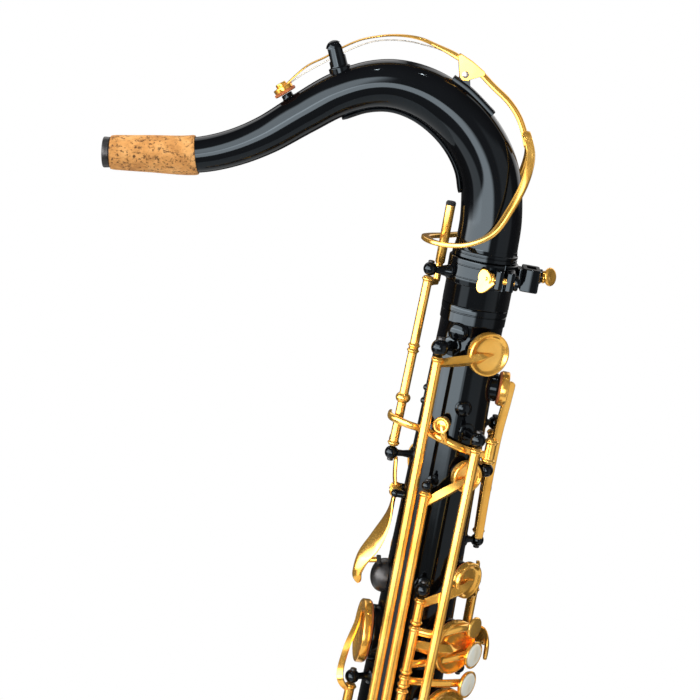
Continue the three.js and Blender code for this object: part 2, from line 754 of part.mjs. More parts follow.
function buildBody() {
  const outline = [
    [0, BODY_BOTTOM],
    [bodyRadius(BODY_BOTTOM), BODY_BOTTOM],
    [BODY_TOP_RADIUS, BODY_TAPER_START],
    [BODY_TOP_RADIUS, -31],
    [16, -30],
    [16, -25.2],
    [16.9, -25],
    [16.9, BODY_TOP],
    [0, BODY_TOP],
  ];
  const boreOutline = [
    [0, BODY_BOTTOM - 1],
    [bodyRadius(BODY_BOTTOM) - WALL, BODY_BOTTOM - 1],
    [BODY_TOP_RADIUS - WALL, BODY_TAPER_START],
    [BODY_TOP_RADIUS - WALL, BODY_TOP + 1],
    [0, BODY_TOP + 1],
  ];
  const origin = vec(0, 0, 0);
  const ventFoot = onBody(VENT.degrees, VENT.z, -1);
  const vent = bar(ventFoot, onBody(VENT.degrees, VENT.z, RIM_RISE), VENT.radius, 8);
  const pivot = bar(onBody(-36, PIVOT_POST_Z, -0.6), polar(24, -36, PIVOT_POST_Z), 2.2, 6);
  const pivotBall = ball(polar(24, -36, PIVOT_POST_Z), 3);
  const thumbLugs = [-1, 1].map((side) =>
    bar(vec(-14, side * 6.6, THUMB_HINGE.z), vec(THUMB_HINGE.x, side * 6.6, THUMB_HINGE.z), 1.8, 6),
  );
  const tableRod = rodOnBody(TABLE_DEGREES, 8, TABLE_TOP, TABLE_TOP - 3 * TABLE_STEP + 1);
  const posts = [
    postsOf(RODS.high_e, 3.7),
    postsOf(RODS.high_f_sharp, 2.6),
    postsOf(RODS.side_c, 3.7),
    postsOf(RODS.side_b_flat),
    postsOf(RODS.palm_e_flat, 3),
    postsOf(RODS.palm_d, 3),
    postsOf(RODS.palm_f, 3.3),
    postsOf(RODS.front_f, 3),
    post(ballPlace(RODS.octave, RODS.octave.bottom, OCTAVE_BALL), OCTAVE_BALL),
    postsOf(RODS.upper_stack, 3.7),
    postsOf(RODS.g_sharp, 3),
    postsOf(RODS.lower_stack, 3.8),
    postsOf(RODS.e_flat, 3),
    postsOf(RODS.low_c, 3.3),
    postsOf(tableRod, 3.3),
  ].flat();
  const shell = join(
    turned(outline, origin, UP, TUBE_SIDES),
    ...Object.values(HOLES).map(chimney),
    vent,
    pivot,
    pivotBall,
    ...thumbLugs,
    ...posts,
  );
  const boreCut = turned(boreOutline, origin, UP, TUBE_SIDES);
  addNode("body_tube", cut(shell, boreCut, ...Object.values(HOLES).map(holeBore)), "black_lacquer");
}

// ---- Bow and bell -------------------------------------------------------------------

const RING_HEIGHT = 5;

function buildBowAndBell() {
  const arc = new BowCurve();
  const bowPipe = pipe(arc, bowTubeRadius, WALL, LEFT_HAND, 18, 10);
  const lowered = vec(0, 0, -GAP);
  const bow = cut(join(bowPipe, cut(chimney(LOW_C_HOLE), bowCore(arc))), holeBore(LOW_C_HOLE));
  const bowMesh = addNode("bow", bow, "black_lacquer");
  bowMesh.position.copy(lowered);

  const outer = BELL_PROFILE.map(([z, r]) => [r, z]);
  const inner = BELL_PROFILE.map(([z, r]) => [r - WALL, z]).reverse();
  const bellWall = turned([...outer, ...inner, outer[0]], vec(BELL_X, 0, 0), UP, BELL_SIDES);
  const rim = turned(circle(77.6, BELL_RIM_Z, 1.9, 6), vec(BELL_X, 0, 0), UP, BELL_SIDES);
  const coreProfile = [[0, -621], ...BELL_PROFILE.map(([z, r]) => [r - WALL / 2, z]), [0, BELL_RIM_Z]];
  const core = turned(coreProfile, vec(BELL_X, 0, 0), UP, BELL_SIDES);
  const holes = Object.values(BELL_HOLES);
  const bellPosts = [RODS.low_b, RODS.low_b_flat, RODS.low_c_sharp].map(bellPostsOf).flat();
  const fittings = cut(join(...holes.map(chimney), ...bellPosts), core);
  addNode("bell", cut(join(bellWall, rim, fittings), ...holes.map(holeBore)), "black_lacquer");

  addNode("body_to_bow_ring", clampRing(0, bodyRadius(BODY_BOTTOM) + 1.4), "black_lacquer");
  addNode("bell_to_bow_ring", clampRing(BELL_X, BOW_END_RADIUS + 0.9), "black_lacquer");
}

function bowCore(arc) {
  return follow(upright(1, 18, 10), arc, LEFT_HAND, (t) => bowTubeRadius(t) - WALL / 2);
}

function circle(radius, height, section, sides) {
  const points = [];
  for (let i = 0; i <= sides; i++) {
    const a = (2 * Math.PI * (i % sides)) / sides;
    points.push([radius + section * Math.cos(a), height + section * Math.sin(a)]);
  }
  return points;
}

// Posts that carry a rod on the side of the bell.
function bellPostsOf(rod) {
  const parts = [];
  for (const [end, sign] of [[rod.top, 1], [rod.bottom, -1]]) {
    const centre = end.clone().addScaledVector(UP, sign * (3.3 + GAP));
    const axisPoint = vec(BELL_X, 0, centre.z);
    const share = (bellRadius(centre.z) - 0.8) / centre.distanceTo(axisPoint);
    const foot = centre.clone().lerp(axisPoint, 1 - share);
    parts.push(bar(foot, centre, 2.2, 6), ball(centre, 3.3));
  }
  return parts;
}

function clampRing(x, radius) {
  const low = BODY_BOTTOM - RING_HEIGHT / 2;
  const high = BODY_BOTTOM + RING_HEIGHT / 2;
  const profile = [
    [radius, low],
    [radius + 1.4, low],
    [radius + 2.2, BODY_BOTTOM],
    [radius + 1.4, high],
    [radius, high],
    [radius, low],
  ];
  return turned(profile, vec(x, 0, 0), UP, TUBE_SIDES);
}

const BRACE_Z = -448;

function buildBellBrace() {
  const bodySide = bodyRadius(BRACE_Z) + GAP;
  const bellSide = BELL_X - bellRadius(BRACE_Z) - GAP;
  const middle = (bodySide + bellSide) / 2;
  const ring = turned(circle(9, 0, 2.2, 6), vec(middle, 0, BRACE_Z), RIGHT_HAND, 14);
  const foot = (from, to) => bar(vec(from, 0, BRACE_Z), vec(to, 0, BRACE_Z), 2.4, 8);
  const reach = 20;
  const upright = (x, radius, sides) =>
    bar(vec(x, 0, BRACE_Z - reach), vec(x, 0, BRACE_Z + reach), radius + GAP, sides);
  const bodyRoom = upright(0, bodyRadius(BRACE_Z - reach), TUBE_SIDES);
  const bellRoom = upright(BELL_X, bellRadius(BRACE_Z + reach), BELL_SIDES);
  const flange = (x, room) => cut(block(vec(x, 0, BRACE_Z), vec(3, 13, 16)), room);
  const parts = [
    ring,
    foot(bodySide + 0.6, middle - 8),
    foot(middle + 8, bellSide - 3.2),
    flange(bodySide + 1.2, bodyRoom),
    flange(bellSide - 3.4, bellRoom),
  ];
  addNode("bell_brace", join(...parts), "black_lacquer");
}

// ---- Key guards ---------------------------------------------------------------------

// A bar over one or more cups with a foot at each end.
function guard(name, holes, direction, spread, footDepth) {
  const first = holes[0];
  const last = holes[holes.length - 1];
  const height = CUP_HEIGHT + 11;
  const over = (hole, shift, lift) =>
    hole.seat.clone().addScaledVector(direction, shift).addScaledVector(hole.normal, lift);
  const ends = [
    over(first, first.radius + spread, -footDepth),
    over(first, first.radius + spread, height),
    ...holes.map((hole) => over(hole, 0, height)),
    over(last, -last.radius - spread, height),
    over(last, -last.radius - spread, -footDepth),
  ];
  const spine = [];
  const facing = vec(0.31, 0.95, 0.02);
  for (let i = 0; i + 1 < ends.length; i++) {
    spine.push(strip([ends[i], ends[i + 1]], 5, 2.4, facing, 1));
  }
  const joints = ends.slice(1, -1).map((p) => ball(p, 2.7));
  const caps = holes.map((hole) =>
    turned([[0, -1.4], [6.5, -1.4], [6.5, 1.4], [0, 1.4]], over(hole, 0, height), hole.normal, 8),
  );
  return { name, manifold: join(...spine, ...joints, ...caps) };
}

function buildGuards() {
  const bellCore = turned(
    [[0, -640], ...BELL_PROFILE.map(([z, r]) => [r + GAP, z]), [0, BELL_RIM_Z]],
    vec(BELL_X, 0, 0),
    UP,
    30,
  );
  const right = guard("bell_key_guard", [BELL_HOLES.low_b_flat, BELL_HOLES.low_b], UP, 5, 9);
  addNode(right.name, cut(right.manifold, bellCore), "gold_lacquer");
  const left = guard("low_c_sharp_guard", [BELL_HOLES.low_c_sharp], vec(0.5, 0, 0.87), 4.5, 9);
  addNode(left.name, cut(left.manifold, bellCore, clampTool(BELL_X, BOW_END_RADIUS + 3.6)), "gold_lacquer");
  const arc = new BowCurve();
  const bowSkin = follow(upright(1, 18, 10), arc, LEFT_HAND, (t) => bowTubeRadius(t) + 2 * GAP);
  const low = guard("low_c_guard", [LOW_C_HOLE], vec(0.83, 0, 0.55), 4.5, 14);
  addNode(low.name, cut(low.manifold, bowSkin), "gold_lacquer");
}

function clampTool(x, radius) {
  return bar(vec(x, 0, BODY_BOTTOM - RING_HEIGHT), vec(x, 0, BODY_BOTTOM + RING_HEIGHT), radius, BELL_SIDES);
}

// ---- Thumb rest, thumb hook and strap ring ------------------------------------------

function buildBackFittings() {
  const restZ = -164;
  const restFoot = vec(-bodyRadius(restZ) - GAP - 0.2, 0, restZ);
  const rest = turned([[0, 0], [7.6, 0], [7.6, 2.6], [5.4, 5.2], [0, 6]], restFoot, vec(-1, 0, 0), 14);
  addNode("thumb_rest", rest, "black_metal");

  const hookZ = -432;
  const wall = bodyRadius(hookZ + 15) + GAP;
  const plate = block(vec(-wall - 1.6, 0, hookZ), vec(2.8, 16, 30));
  const hookPath = [
    vec(-wall - 2, 0, hookZ + 11),
    vec(-wall - 12, 0, hookZ + 13),
    vec(-wall - 24, 0, hookZ + 8),
    vec(-wall - 29, 0, hookZ - 6),
    vec(-wall - 27, 0, hookZ - 20),
  ];
  const hook = strip(hookPath, 15, 3, (p) => p.clone().sub(vec(-wall - 8, 0, hookZ - 14)), 12);
  const tube = bar(vec(0, 0, hookZ - 30), vec(0, 0, hookZ + 30), bodyRadius(hookZ - 16) + GAP, TUBE_SIDES);
  addNode("thumb_hook", cut(join(plate, hook), tube), "gold_lacquer");

  const ringX = -bodyRadius(STRAP_RING_Z) - STRAP_RING_REACH;
  const ring = turned(
    circle(STRAP_RING_RADIUS - STRAP_RING_BAR, 0, STRAP_RING_BAR, 8),
    vec(ringX, 0, STRAP_RING_Z),
    RIGHT_HAND,
    20,
  );
  const ringWall = bodyRadius(STRAP_RING_Z - 12) + GAP;
  const ringPlate = block(vec(-ringWall - 1, 0, STRAP_RING_Z), vec(3.2, 9, 24));
  const flat = block(vec(ringX, 0, STRAP_RING_Z + 9), vec(9, 3.6, 3));
  const ringTube = bar(vec(0, 0, STRAP_RING_Z - 20), vec(0, 0, STRAP_RING_Z + 20), ringWall, TUBE_SIDES);
  addNode("strap_ring", cut(join(ring, ringPlate, flat), ringTube), "black_lacquer");
}

// ---- Octave mechanism ---------------------------------------------------------------

const PIN_X = -20.3;
const PIN_Y = 0.2;
const PIN_ARM_Z = -15;

function buildOctaveKeys() {
  const rod = RODS.octave;
  const pin = bar(vec(PIN_X, PIN_Y, -5), vec(PIN_X, PIN_Y, 23.6), 2.2, 10);
  const pinFoot = bar(vec(PIN_X, PIN_Y, PIN_ARM_Z), vec(PIN_X, PIN_Y, -4), 1.7, 8);
  const armPoints = [rodPoint(rod, PIN_ARM_Z), vec(-23, -3.6, PIN_ARM_Z), vec(PIN_X, PIN_Y + 0.4, PIN_ARM_Z)];
  const pinArm = strip(armPoints, 3.4, 3, UP, 4);
  const lowArm = strip(
    [rodPoint(rod, -93), vec(-27.4, -4, -93), vec(-27.6, 1, -96)],
    4,
    2.2,
    outwards,
    4,
  );
  const collars = [-17, -46, -70].map((z) =>
    bar(rodPoint(rod, z + 2), rodPoint(rod, z - 2), ROD_RADIUS + 1),
  );
  const pinKey = join(sleeve(rod, 2.2), pin, pinFoot, pinArm, lowArm, ...collars);
  addHinged("octave_pin_key", pinKey, "gold_lacquer", {
    point: rod.bottom,
    axis: UP.clone(),
    rest: 0,
    range: [0, 14],
  });

  const rockerBar = strip(
    [
      vec(-32.2, 1, -80.3),
      vec(-31.4, -10.4, -80.3),
      vec(-22, -16.9, -82),
      vec(-13.4, -16.4, -84.2),
      vec(-4.7, -19.5, -86.2),
      vec(5.2, -19.6, -88.8),
      vec(12.7, -16.9, -90.6),
      vec(19.4, -14.1, -91.4),
    ],
    3.6,
    1.8,
    outwards,
    12,
  );
  const ventSeat = {
    seat: onBody(VENT.degrees, VENT.z, RIM_RISE),
    normal: polar(1, VENT.degrees, 0),
    radius: VENT.radius,
  };
  const ventCup = padCup(ventSeat, 1.2);
  const ventTop = ventSeat.seat.clone().addScaledVector(ventSeat.normal, 3.6);
  const ventArm = strip([ventTop, vec(-4.6, -22, -83), vec(-3, -20, -87)], 3, 1.8, outwards, 4);
  addHinged("body_octave_key", join(sleeve(ROCKER_ROD, 2.6), rockerBar, ventCup, ventArm), "gold_lacquer", {
    point: ROCKER_ROD.bottom,
    axis: UP.clone(),
    rest: 0,
    range: [0, 4],
  });

  const lever = paddle(
    [
      THUMB_HINGE,
      vec(-22, 0, -134),
      vec(-26.5, 0, -147),
      vec(-31.6, 0, -156.5),
      vec(-32.6, 0, -164.6),
      vec(-30.6, 0, -169.6),
    ],
    12,
    vec(-1, 0, 0),
    2,
  );
  const barrel = bar(vec(THUMB_HINGE.x, -4.4, THUMB_HINGE.z), vec(THUMB_HINGE.x, 4.4, THUMB_HINGE.z), 2.4, 8);
  const tail = strip([THUMB_HINGE, vec(-22.6, 1, -113), vec(-23.6, 2, -104)], 5, 2, vec(-1, 0, 0), 4);
  addHinged("thumb_octave_lever", join(lever, barrel, tail), "gold_lacquer", {
    point: THUMB_HINGE,
    axis: vec(0, -1, 0),
    rest: 0,
    range: [0, 4],
  });
}

// ---- Palm and side keys -------------------------------------------------------------

const CLOSED_LIFT = 6;

function buildPalmKeys() {
  for (const [name, drop] of [["palm_e_flat", 12], ["palm_d", 16]]) {
    const rod = RODS[name];
    const hole = HOLES[name];
    const z = rod.bottom.z + 6;
    const touch = paddle(
      [rodPoint(rod, z), polar(31, 109, z - 4), polar(36, 108, z - drop), polar(38, 108, z - drop - 14)],
      13,
      outwards,
    );
    addKey(`${name}_key`, rod, hole, CLOSED_LIFT, false, [padCup(hole, 1.7), cupArm(rod, hole), touch]);
  }
  const rod = RODS.palm_f;
  const hole = HOLES.palm_f;
  const flatPoints = [vec(24.4, 1, -58), vec(23.8, 2, -70), vec(22.9, 2.4, -100), vec(23.4, 2.4, -137)];
  const flat = strip(flatPoints, 5, 1.8, vec(1, 0, 0), 6);
  const tie = strip([rodPoint(rod, -112), vec(22.9, 2.6, -112)], 4, 2.4, UP, 2);
  const touchPoints = [rodPoint(rod, -110), polar(31, 40, -110), polar(36, 62, -111), polar(37, 84, -112)];
  const touch = paddle(touchPoints, 11, outwards);
  addKey("palm_f_key", rod, hole, CLOSED_LIFT, false, [padCup(hole, 1.7), flat, tie, touch]);

  const front = RODS.front_f;
  const dropPoints = [rodPoint(front, -190), vec(33.6, 5, -187), vec(37.2, -1, -188), vec(38, -3, -197)];
  const teardrop = paddle(dropPoints, 9, outwards, 2.2);
  const finger = strip(
    [rodPoint(front, -170), vec(31.6, 6.4, -167), vec(31.8, 5, -150), vec(30.7, 4, -128)],
    4,
    2,
    vec(1, 0, 0),
    6,
  );
  addHinged("front_f_key", join(sleeve(front), teardrop, finger), "gold_lacquer", {
    point: front.bottom,
    axis: UP.clone(),
    rest: 0,
    range: [0, 6],
  });
}

// The back cup's arm goes round the outside of the post at the top of its rod.
function backArm(rod) {
  const points = [
    rodPoint(rod, -221),
    vec(-31.4, -18, -214),
    vec(-30.8, -10, -202),
    vec(-27.4, -1, -190),
    vec(-27, 4, -186),
  ];
  return strip(points, ARM_WIDTH, ARM_THICKNESS, outwards, 8);
}

function buildSideKeys() {
  const touches = {
    high_e: [vec(-14, -40, -303), vec(-20, -48, -304)],
    high_f_sharp: [vec(-1, -41, -279), vec(1, -50, -280)],
    side_c: [vec(16, -44, -298), vec(20, -53, -299)],
    side_b_flat: [vec(-36, -22, -296), vec(-44, -28, -297)],
  };
  const armFrom = { high_e: -50, high_f_sharp: -118, side_c: HOLES.side_c.seat.z };
  for (const [name, [near, far]] of Object.entries(touches)) {
    const rod = RODS[name];
    const hole = HOLES[name];
    const touch = paddle([rodPoint(rod, near.z), near, far], 22, UP.clone().cross(far.clone().sub(near)));
    const arm = name === "side_b_flat" ? backArm(rod) : cupArm(rod, hole, armFrom[name], 3.2);
    const parts = [padCup(hole), arm, touch];
    addKey(`${name}_key`, rod, hole, CLOSED_LIFT, false, parts);
  }
}

// ---- Stacks -------------------------------------------------------------------------

const OPEN_LIFT = 7;

function fingerPearl(rod, fromZ, centre, normal) {
  const start = rodPoint(rod, fromZ);
  const middle = centre.clone().lerp(start, 0.45).addScaledVector(normal, 3.5);
  const end = centre.clone().addScaledVector(normal, -1);
  const arm = strip([start, middle, end], 3.6, ARM_THICKNESS, normal, 4);
  return [arm, pearl(centre, normal)];
}

function buildUpperStack() {
  const rod = RODS.upper_stack;
  const finger = (z) => polar(33.6, -24.7, z);
  const facing = polar(1, -28, 0);
  const list = [
    { name: "small_c", top: -164, bottom: -177.4, cupFrom: -168 },
    { name: "b", top: -178, bottom: -202.4, cupFrom: -188, pearlAt: -198, pearlZ: -193 },
    { name: "a", top: -210, bottom: -241.4, cupFrom: -224, pearlAt: -238, pearlZ: -241 },
    { name: "g", top: -242, bottom: -284, cupFrom: -262, pearlAt: -278, pearlZ: -280 },
  ];
  for (const { name, top, bottom, cupFrom, pearlAt, pearlZ } of list) {
    const hole = HOLES[name];
    const part = piece(rod, top, bottom);
    const pieces = [padCup(hole, 1.6), cupArm(rod, hole, cupFrom)];
    if (pearlAt) pieces.push(...fingerPearl(rod, pearlAt, finger(pearlZ), facing));
    addKey(`${name}_key`, part, hole, OPEN_LIFT, true, pieces);
  }
  const bisPart = piece(rod, -203, -209.4);
  const bisHole = HOLES.b;
  addKey("bis_key", bisPart, bisHole, OPEN_LIFT, true, fingerPearl(rod, -206, finger(-208.5), facing));
}

function buildLowerStack() {
  const rod = RODS.lower_stack;
  const list = [
    { name: "f_sharp", top: -336, bottom: -370 },
    { name: "f", top: -370.6, bottom: -414, pearlZ: -415 },
    { name: "e", top: -414.6, bottom: -460, pearlZ: -460 },
    { name: "d", top: -460.6, bottom: -512, pearlZ: -508 },
  ];
  for (const { name, top, bottom, pearlZ } of list) {
    const hole = HOLES[name];
    const part = piece(rod, top, bottom);
    const pieces = [padCup(hole), cupArm(rod, hole)];
    if (pearlZ) {
      const normal = polar(1, -78, 0);
      pieces.push(...fingerPearl(rod, Math.max(pearlZ, bottom + 3), polar(41, -78, pearlZ), normal));
    }
    addKey(`${name}_key`, part, hole, OPEN_LIFT, true, pieces);
  }
}

// ---- Little finger keys -------------------------------------------------------------

function buildLowKeys() {
  const gSharp = RODS.g_sharp;
  const gSharpTouch = paddle(
    [rodPoint(gSharp, -330), polar(36, 98, -330), polar(42, 112, -330)],
    18,
    polar(1, 105, 0),
  );
  addKey("g_sharp_key", gSharp, HOLES.g_sharp, CLOSED_LIFT, false, [
    padCup(HOLES.g_sharp),
    cupArm(gSharp, HOLES.g_sharp),
    gSharpTouch,
  ]);

  ["low_c_sharp", "low_b", "low_b_flat"].forEach((name, i) => {
    const top = TABLE_TOP - i * TABLE_STEP;
    const rod = rodOnBody(TABLE_DEGREES, 8, top, top - TABLE_STEP + 1);
    const middle = top - TABLE_STEP / 2;
    const platePoints = [rodPoint(rod, middle), polar(40, 103, middle), polar(47, 116, middle)];
    const plate = paddle(platePoints, 21, polar(1, 108, 0));
    const leverPoints = [rodPoint(rod, middle), polar(40, 72, middle), polar(44, 58, middle - 4)];
    const lever = strip(leverPoints, 5, 2.4, outwards, 5);
    addHinged(`${name}_lever`, join(sleeve(rod), plate, lever), "gold_lacquer", {
      point: rod.bottom,
      axis: UP.clone(),
      rest: 0,
      range: [0, 6],
    });
  });

  for (const name of ["low_b", "low_b_flat", "low_c_sharp"]) {
    const rod = RODS[name];
    const hole = BELL_HOLES[name];
    const open = name !== "low_c_sharp";
    const side = Math.sign(hole.normal.y);
    const z = rod.top.z - 4;
    const inner = strip(
      [rodPoint(rod, z), vec(rod.top.x - 9, side * 30, z), vec(rod.top.x - 14, side * 22, z)],
      5,
      2.4,
      UP,
      4,
    );
    const arm = cupArm(rod, hole, hole.seat.z, 5);
    addKey(`${name}_key`, rod, hole, open ? 5 : 4, open, [padCup(hole), arm, inner]);
  }

  for (const [name, lift, open, fromZ, touchZ] of [
    ["e_flat", CLOSED_LIFT, false, -548, -530],
    ["low_c", OPEN_LIFT, true, -594, -515],
  ]) {
    const rod = RODS[name];
    const hole = name === "low_c" ? LOW_C_HOLE : HOLES.e_flat;
    const start = rodPoint(rod, touchZ);
    const bend = start.clone().multiplyScalar(1.28).setZ(touchZ);
    const tip = polar(54, name === "low_c" ? -128 : -112, touchZ);
    const touch = paddle([start, bend, tip], 15, UP.clone().cross(start));
    const arm = name === "low_c" ? lowCArm(rod) : cupArm(rod, hole, fromZ, 5);
    addKey(`${name}_key`, rod, hole, lift, open, [padCup(hole), arm, touch]);
  }
}

// The low C arm passes outside the lower post of its rod on its way down to the bow.
function lowCArm(rod) {
  const points = [
    rodPoint(rod, -594),
    vec(-32, -33, -605),
    vec(-16, -43.5, -636),
    vec(4, -41, -650),
    vec(13, -39.6, -656),
  ];
  return strip(points, 5, ARM_THICKNESS, vec(-0.3, -1, 0), 8);
}

// ---- Assembly -----------------------------------------------------------------------

buildNeck();
buildNeckOctaveKey();
buildReceiver();
buildBody();
buildBowAndBell();
buildBellBrace();
buildGuards();
buildBackFittings();
buildOctaveKeys();
buildPalmKeys();
buildSideKeys();
buildUpperStack();
buildLowerStack();
buildLowKeys();

// The finished part has its origin in the middle of the strap ring.
design.position.set(bodyRadius(STRAP_RING_Z) + STRAP_RING_REACH, 0, -STRAP_RING_Z);
const saxophone = new THREE.Group();
saxophone.name = "tenor_saxophone";
saxophone.add(design);

export default saxophone;
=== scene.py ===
import json
from math import cos, pi, radians, sin, sqrt

import bmesh
import bpy
import numpy as np
from mathutils import Matrix, Vector
from numpy.linalg import norm


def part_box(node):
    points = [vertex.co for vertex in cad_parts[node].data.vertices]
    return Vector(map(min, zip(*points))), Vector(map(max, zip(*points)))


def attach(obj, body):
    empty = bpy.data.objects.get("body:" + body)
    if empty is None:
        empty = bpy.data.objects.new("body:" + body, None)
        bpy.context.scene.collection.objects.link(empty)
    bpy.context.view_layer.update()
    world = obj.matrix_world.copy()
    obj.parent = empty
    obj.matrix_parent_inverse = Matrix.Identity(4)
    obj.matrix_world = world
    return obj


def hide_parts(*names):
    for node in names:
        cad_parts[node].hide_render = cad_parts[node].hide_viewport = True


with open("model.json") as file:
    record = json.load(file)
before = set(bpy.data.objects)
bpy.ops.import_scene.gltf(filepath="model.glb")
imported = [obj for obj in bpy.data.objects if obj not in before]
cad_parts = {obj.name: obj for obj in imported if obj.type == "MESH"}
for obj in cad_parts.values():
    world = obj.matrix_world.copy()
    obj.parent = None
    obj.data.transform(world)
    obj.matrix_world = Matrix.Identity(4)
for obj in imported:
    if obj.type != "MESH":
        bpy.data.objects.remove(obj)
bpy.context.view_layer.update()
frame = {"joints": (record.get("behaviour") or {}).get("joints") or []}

# The saxophone is drawn in the design frame of the CAD part: millimetres, with the body
# tube on the Z axis, zero height at the joint of neck and receiver, the bell along +X
# and the player's right hand along -Y. Angles run round the body tube from +X to +Y.
RING_LOW, RING_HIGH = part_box("body_to_bow_ring")
AXIS_X = (RING_LOW.x + RING_HIGH.x) / 2
GAP = 0.3
JOINT_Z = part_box("neck_receiver")[1].z + GAP / 1000
TO_FRAME = np.array([AXIS_X, 0.0, JOINT_Z])
BODY = "instrument_body"
NECK = "neck"

BODY_TOP = -23.0
BODY_BOTTOM = -620.0
BODY_TOP_RADIUS = 15.2
TAPER_START = -37.0
TAPER = 0.0255
BELL_X = 112.0
BELL_RIM_Z = -335.0
BOW_RADIUS = BELL_X / 2
BOW_END_RADIUS = 38.5
RIM_RISE = 2.2
CUP_HEIGHT = 5.2
ROD_RADIUS = 2.4
ARM_WIDTH = 3.8


# ---- Vectors -------------------------------------------------------------------------

def vec(x, y, z):
    return np.array([x, y, z], float)


def unit(v):
    return np.asarray(v, float) / max(norm(v), 1e-12)


ORIGIN = vec(0, 0, 0)
UP = vec(0, 0, 1)
RIGHT = vec(0, -1, 0)
LEFT = vec(0, 1, 0)
X_AXIS = vec(1, 0, 0)


def polar(radius, degrees, z):
    a = radians(degrees)
    return vec(radius * cos(a), radius * sin(a), z)


def body_radius(z):
    return BODY_TOP_RADIUS + TAPER * max(0.0, TAPER_START - z)


def on_body(degrees, z, above=0.0):
    return polar(body_radius(z) + above, degrees, z)


def outwards(p):
    return vec(p[0], p[1], 0)


def away_from(x, y, z):
    return lambda p: p - vec(x, y, z)


# ---- Shells: (vertices, faces) lofted from rings of points ---------------------------

def around(count):
    """Evenly spaced angles of a full turn."""
    return np.linspace(0, 2 * pi, count, endpoint=False)


def circle(radius, count, x=0.0):
    """A circle of (across, along) points, for a profile or an outline."""
    return [(x + radius * cos(a), radius * sin(a)) for a in around(count)]


def loft(rings, closed=False):
    rings = np.asarray(rings, float)
    count, n, _ = rings.shape
    faces = []
    for i in range(count if closed else count - 1):
        a, b = i * n, ((i + 1) % count) * n
        faces += [(a + j, a + (j + 1) % n, b + (j + 1) % n, b + j) for j in range(n)]
    if not closed:
        faces += [tuple(range(n))[::-1], tuple(range((count - 1) * n, count * n))]
    return rings.reshape(-1, 3), faces


def basis(axis):
    axis = unit(axis)
    hint = UP if abs(axis[2]) < 0.9 else X_AXIS
    side = unit(np.cross(hint, axis))
    return side, np.cross(axis, side), axis


def upright_ring(centre, tangent, radius, sides):
    """A ring across a tube that bends in the XZ plane."""
    side = np.cross(LEFT, tangent)
    return [centre + side * cos(a) * radius + LEFT * sin(a) * radius for a in around(sides)]


def turned(profile, centre, axis=UP, sides=48, closed=False):
    """A [radius, height] profile turned about the line through centre along axis."""
    u, v, w = basis(axis)
    rings = []
    for radius, height in profile:
        r = max(radius, 0.02)
        rings.append([centre + w * height + r * (u * cos(a) + v * sin(a)) for a in around(sides)])
    return loft(rings, closed)


def arc(radius_at, height_at, size, start, end, count=6):
    """Points of a circular arc in a turned profile, in degrees from the radial direction."""
    steps = np.radians(np.linspace(start, end, count))
    return [(radius_at + size * cos(a), height_at + size * sin(a)) for a in steps]


def bar(a, b, radius, sides=28, bevel=0.25):
    length = norm(b - a)
    c = min(bevel, radius * 0.4, length * 0.3)
    profile = [(radius - c, 0), (radius, c), (radius, length - c), (radius - c, length)]
    return turned(profile, a, b - a, sides)


def ball(centre, radius, sides=28, squash=1.0):
    steps = np.radians(np.linspace(-90, 90, 15))
    profile = [(radius * cos(a), squash * radius * sin(a)) for a in steps]
    return turned(profile, centre, UP, sides)


def catmull(points, closed=False, per=24):
    """A centripetal Catmull-Rom curve through the points."""
    p = [np.asarray(q, float) for q in points]
    if len(p) == 2:
        return np.array([p[0] + (p[1] - p[0]) * t for t in np.linspace(0, 1, per)])
    ext = [p[-1]] + p + [p[0], p[1]] if closed else [2 * p[0] - p[1]] + p + [2 * p[-1] - p[-2]]
    out = []
    for i in range(len(ext) - 3):
        a, b, c, d = ext[i:i + 4]
        knots = [0.0]
        for q, r in ((a, b), (b, c), (c, d)):
            knots.append(knots[-1] + max(norm(r - q), 1e-4) ** 0.5)
        k0, k1, k2, k3 = knots
        for t in np.linspace(k1, k2, per, endpoint=False):
            mix = lambda q, r, low, high: (high - t) / (high - low) * q + (t - low) / (high - low) * r
            left, middle, right = mix(a, b, k0, k1), mix(b, c, k1, k2), mix(c, d, k2, k3)
            out.append(mix(mix(left, middle, k0, k2), mix(middle, right, k1, k3), k1, k2))
    if not closed:
        out.append(p[-1])
    return np.array(out)


def resample(path, shares, closed=False):
    pts = np.vstack([path, path[:1]]) if closed else path
    lengths = np.concatenate([[0], np.cumsum(norm(np.diff(pts, axis=0), axis=1))])
    at = np.asarray(shares) * lengths[-1]
    return np.array([[np.interp(s, lengths, pts[:, k]) for k in range(3)] for s in at]), lengths[-1]


def round_rect(width, thickness, radius=0.5, k=4):
    r = min(radius, width * 0.48, thickness * 0.48)
    out = []
    for cx, cy, start in ((1, 1, 0), (-1, 1, 90), (-1, -1, 180), (1, -1, 270)):
        for a in np.radians(np.linspace(start, start + 90, k)):
            out.append((cx * (width / 2 - r) + r * cos(a), cy * (thickness / 2 - r) + r * sin(a)))
    return np.array(out)


def crowned(width, thickness, k=9):
    """A flat underside with an arched top, the section of a forged key arm."""
    top = [(cos(a) * width / 2, -thickness * 0.2 + sin(a) * thickness * 0.7)
           for a in np.linspace(0, pi, k)]
    return np.array(top + [(-width * 0.44, -thickness / 2), (width * 0.44, -thickness / 2)])


def ridged(width, thickness):
    """A section with a crest along its middle."""
    half = width / 2
    return np.array([(half, -thickness * 0.25), (half * 0.55, thickness * 0.12), (0.12, thickness * 0.5),
                     (-0.12, thickness * 0.5), (-half * 0.55, thickness * 0.12), (-half, -thickness * 0.25),
                     (-half * 0.8, -thickness / 2), (half * 0.8, -thickness / 2)])


def oval(width, thickness, k=20):
    return np.array([(cos(a) * width / 2, sin(a) * thickness / 2) for a in around(k)])


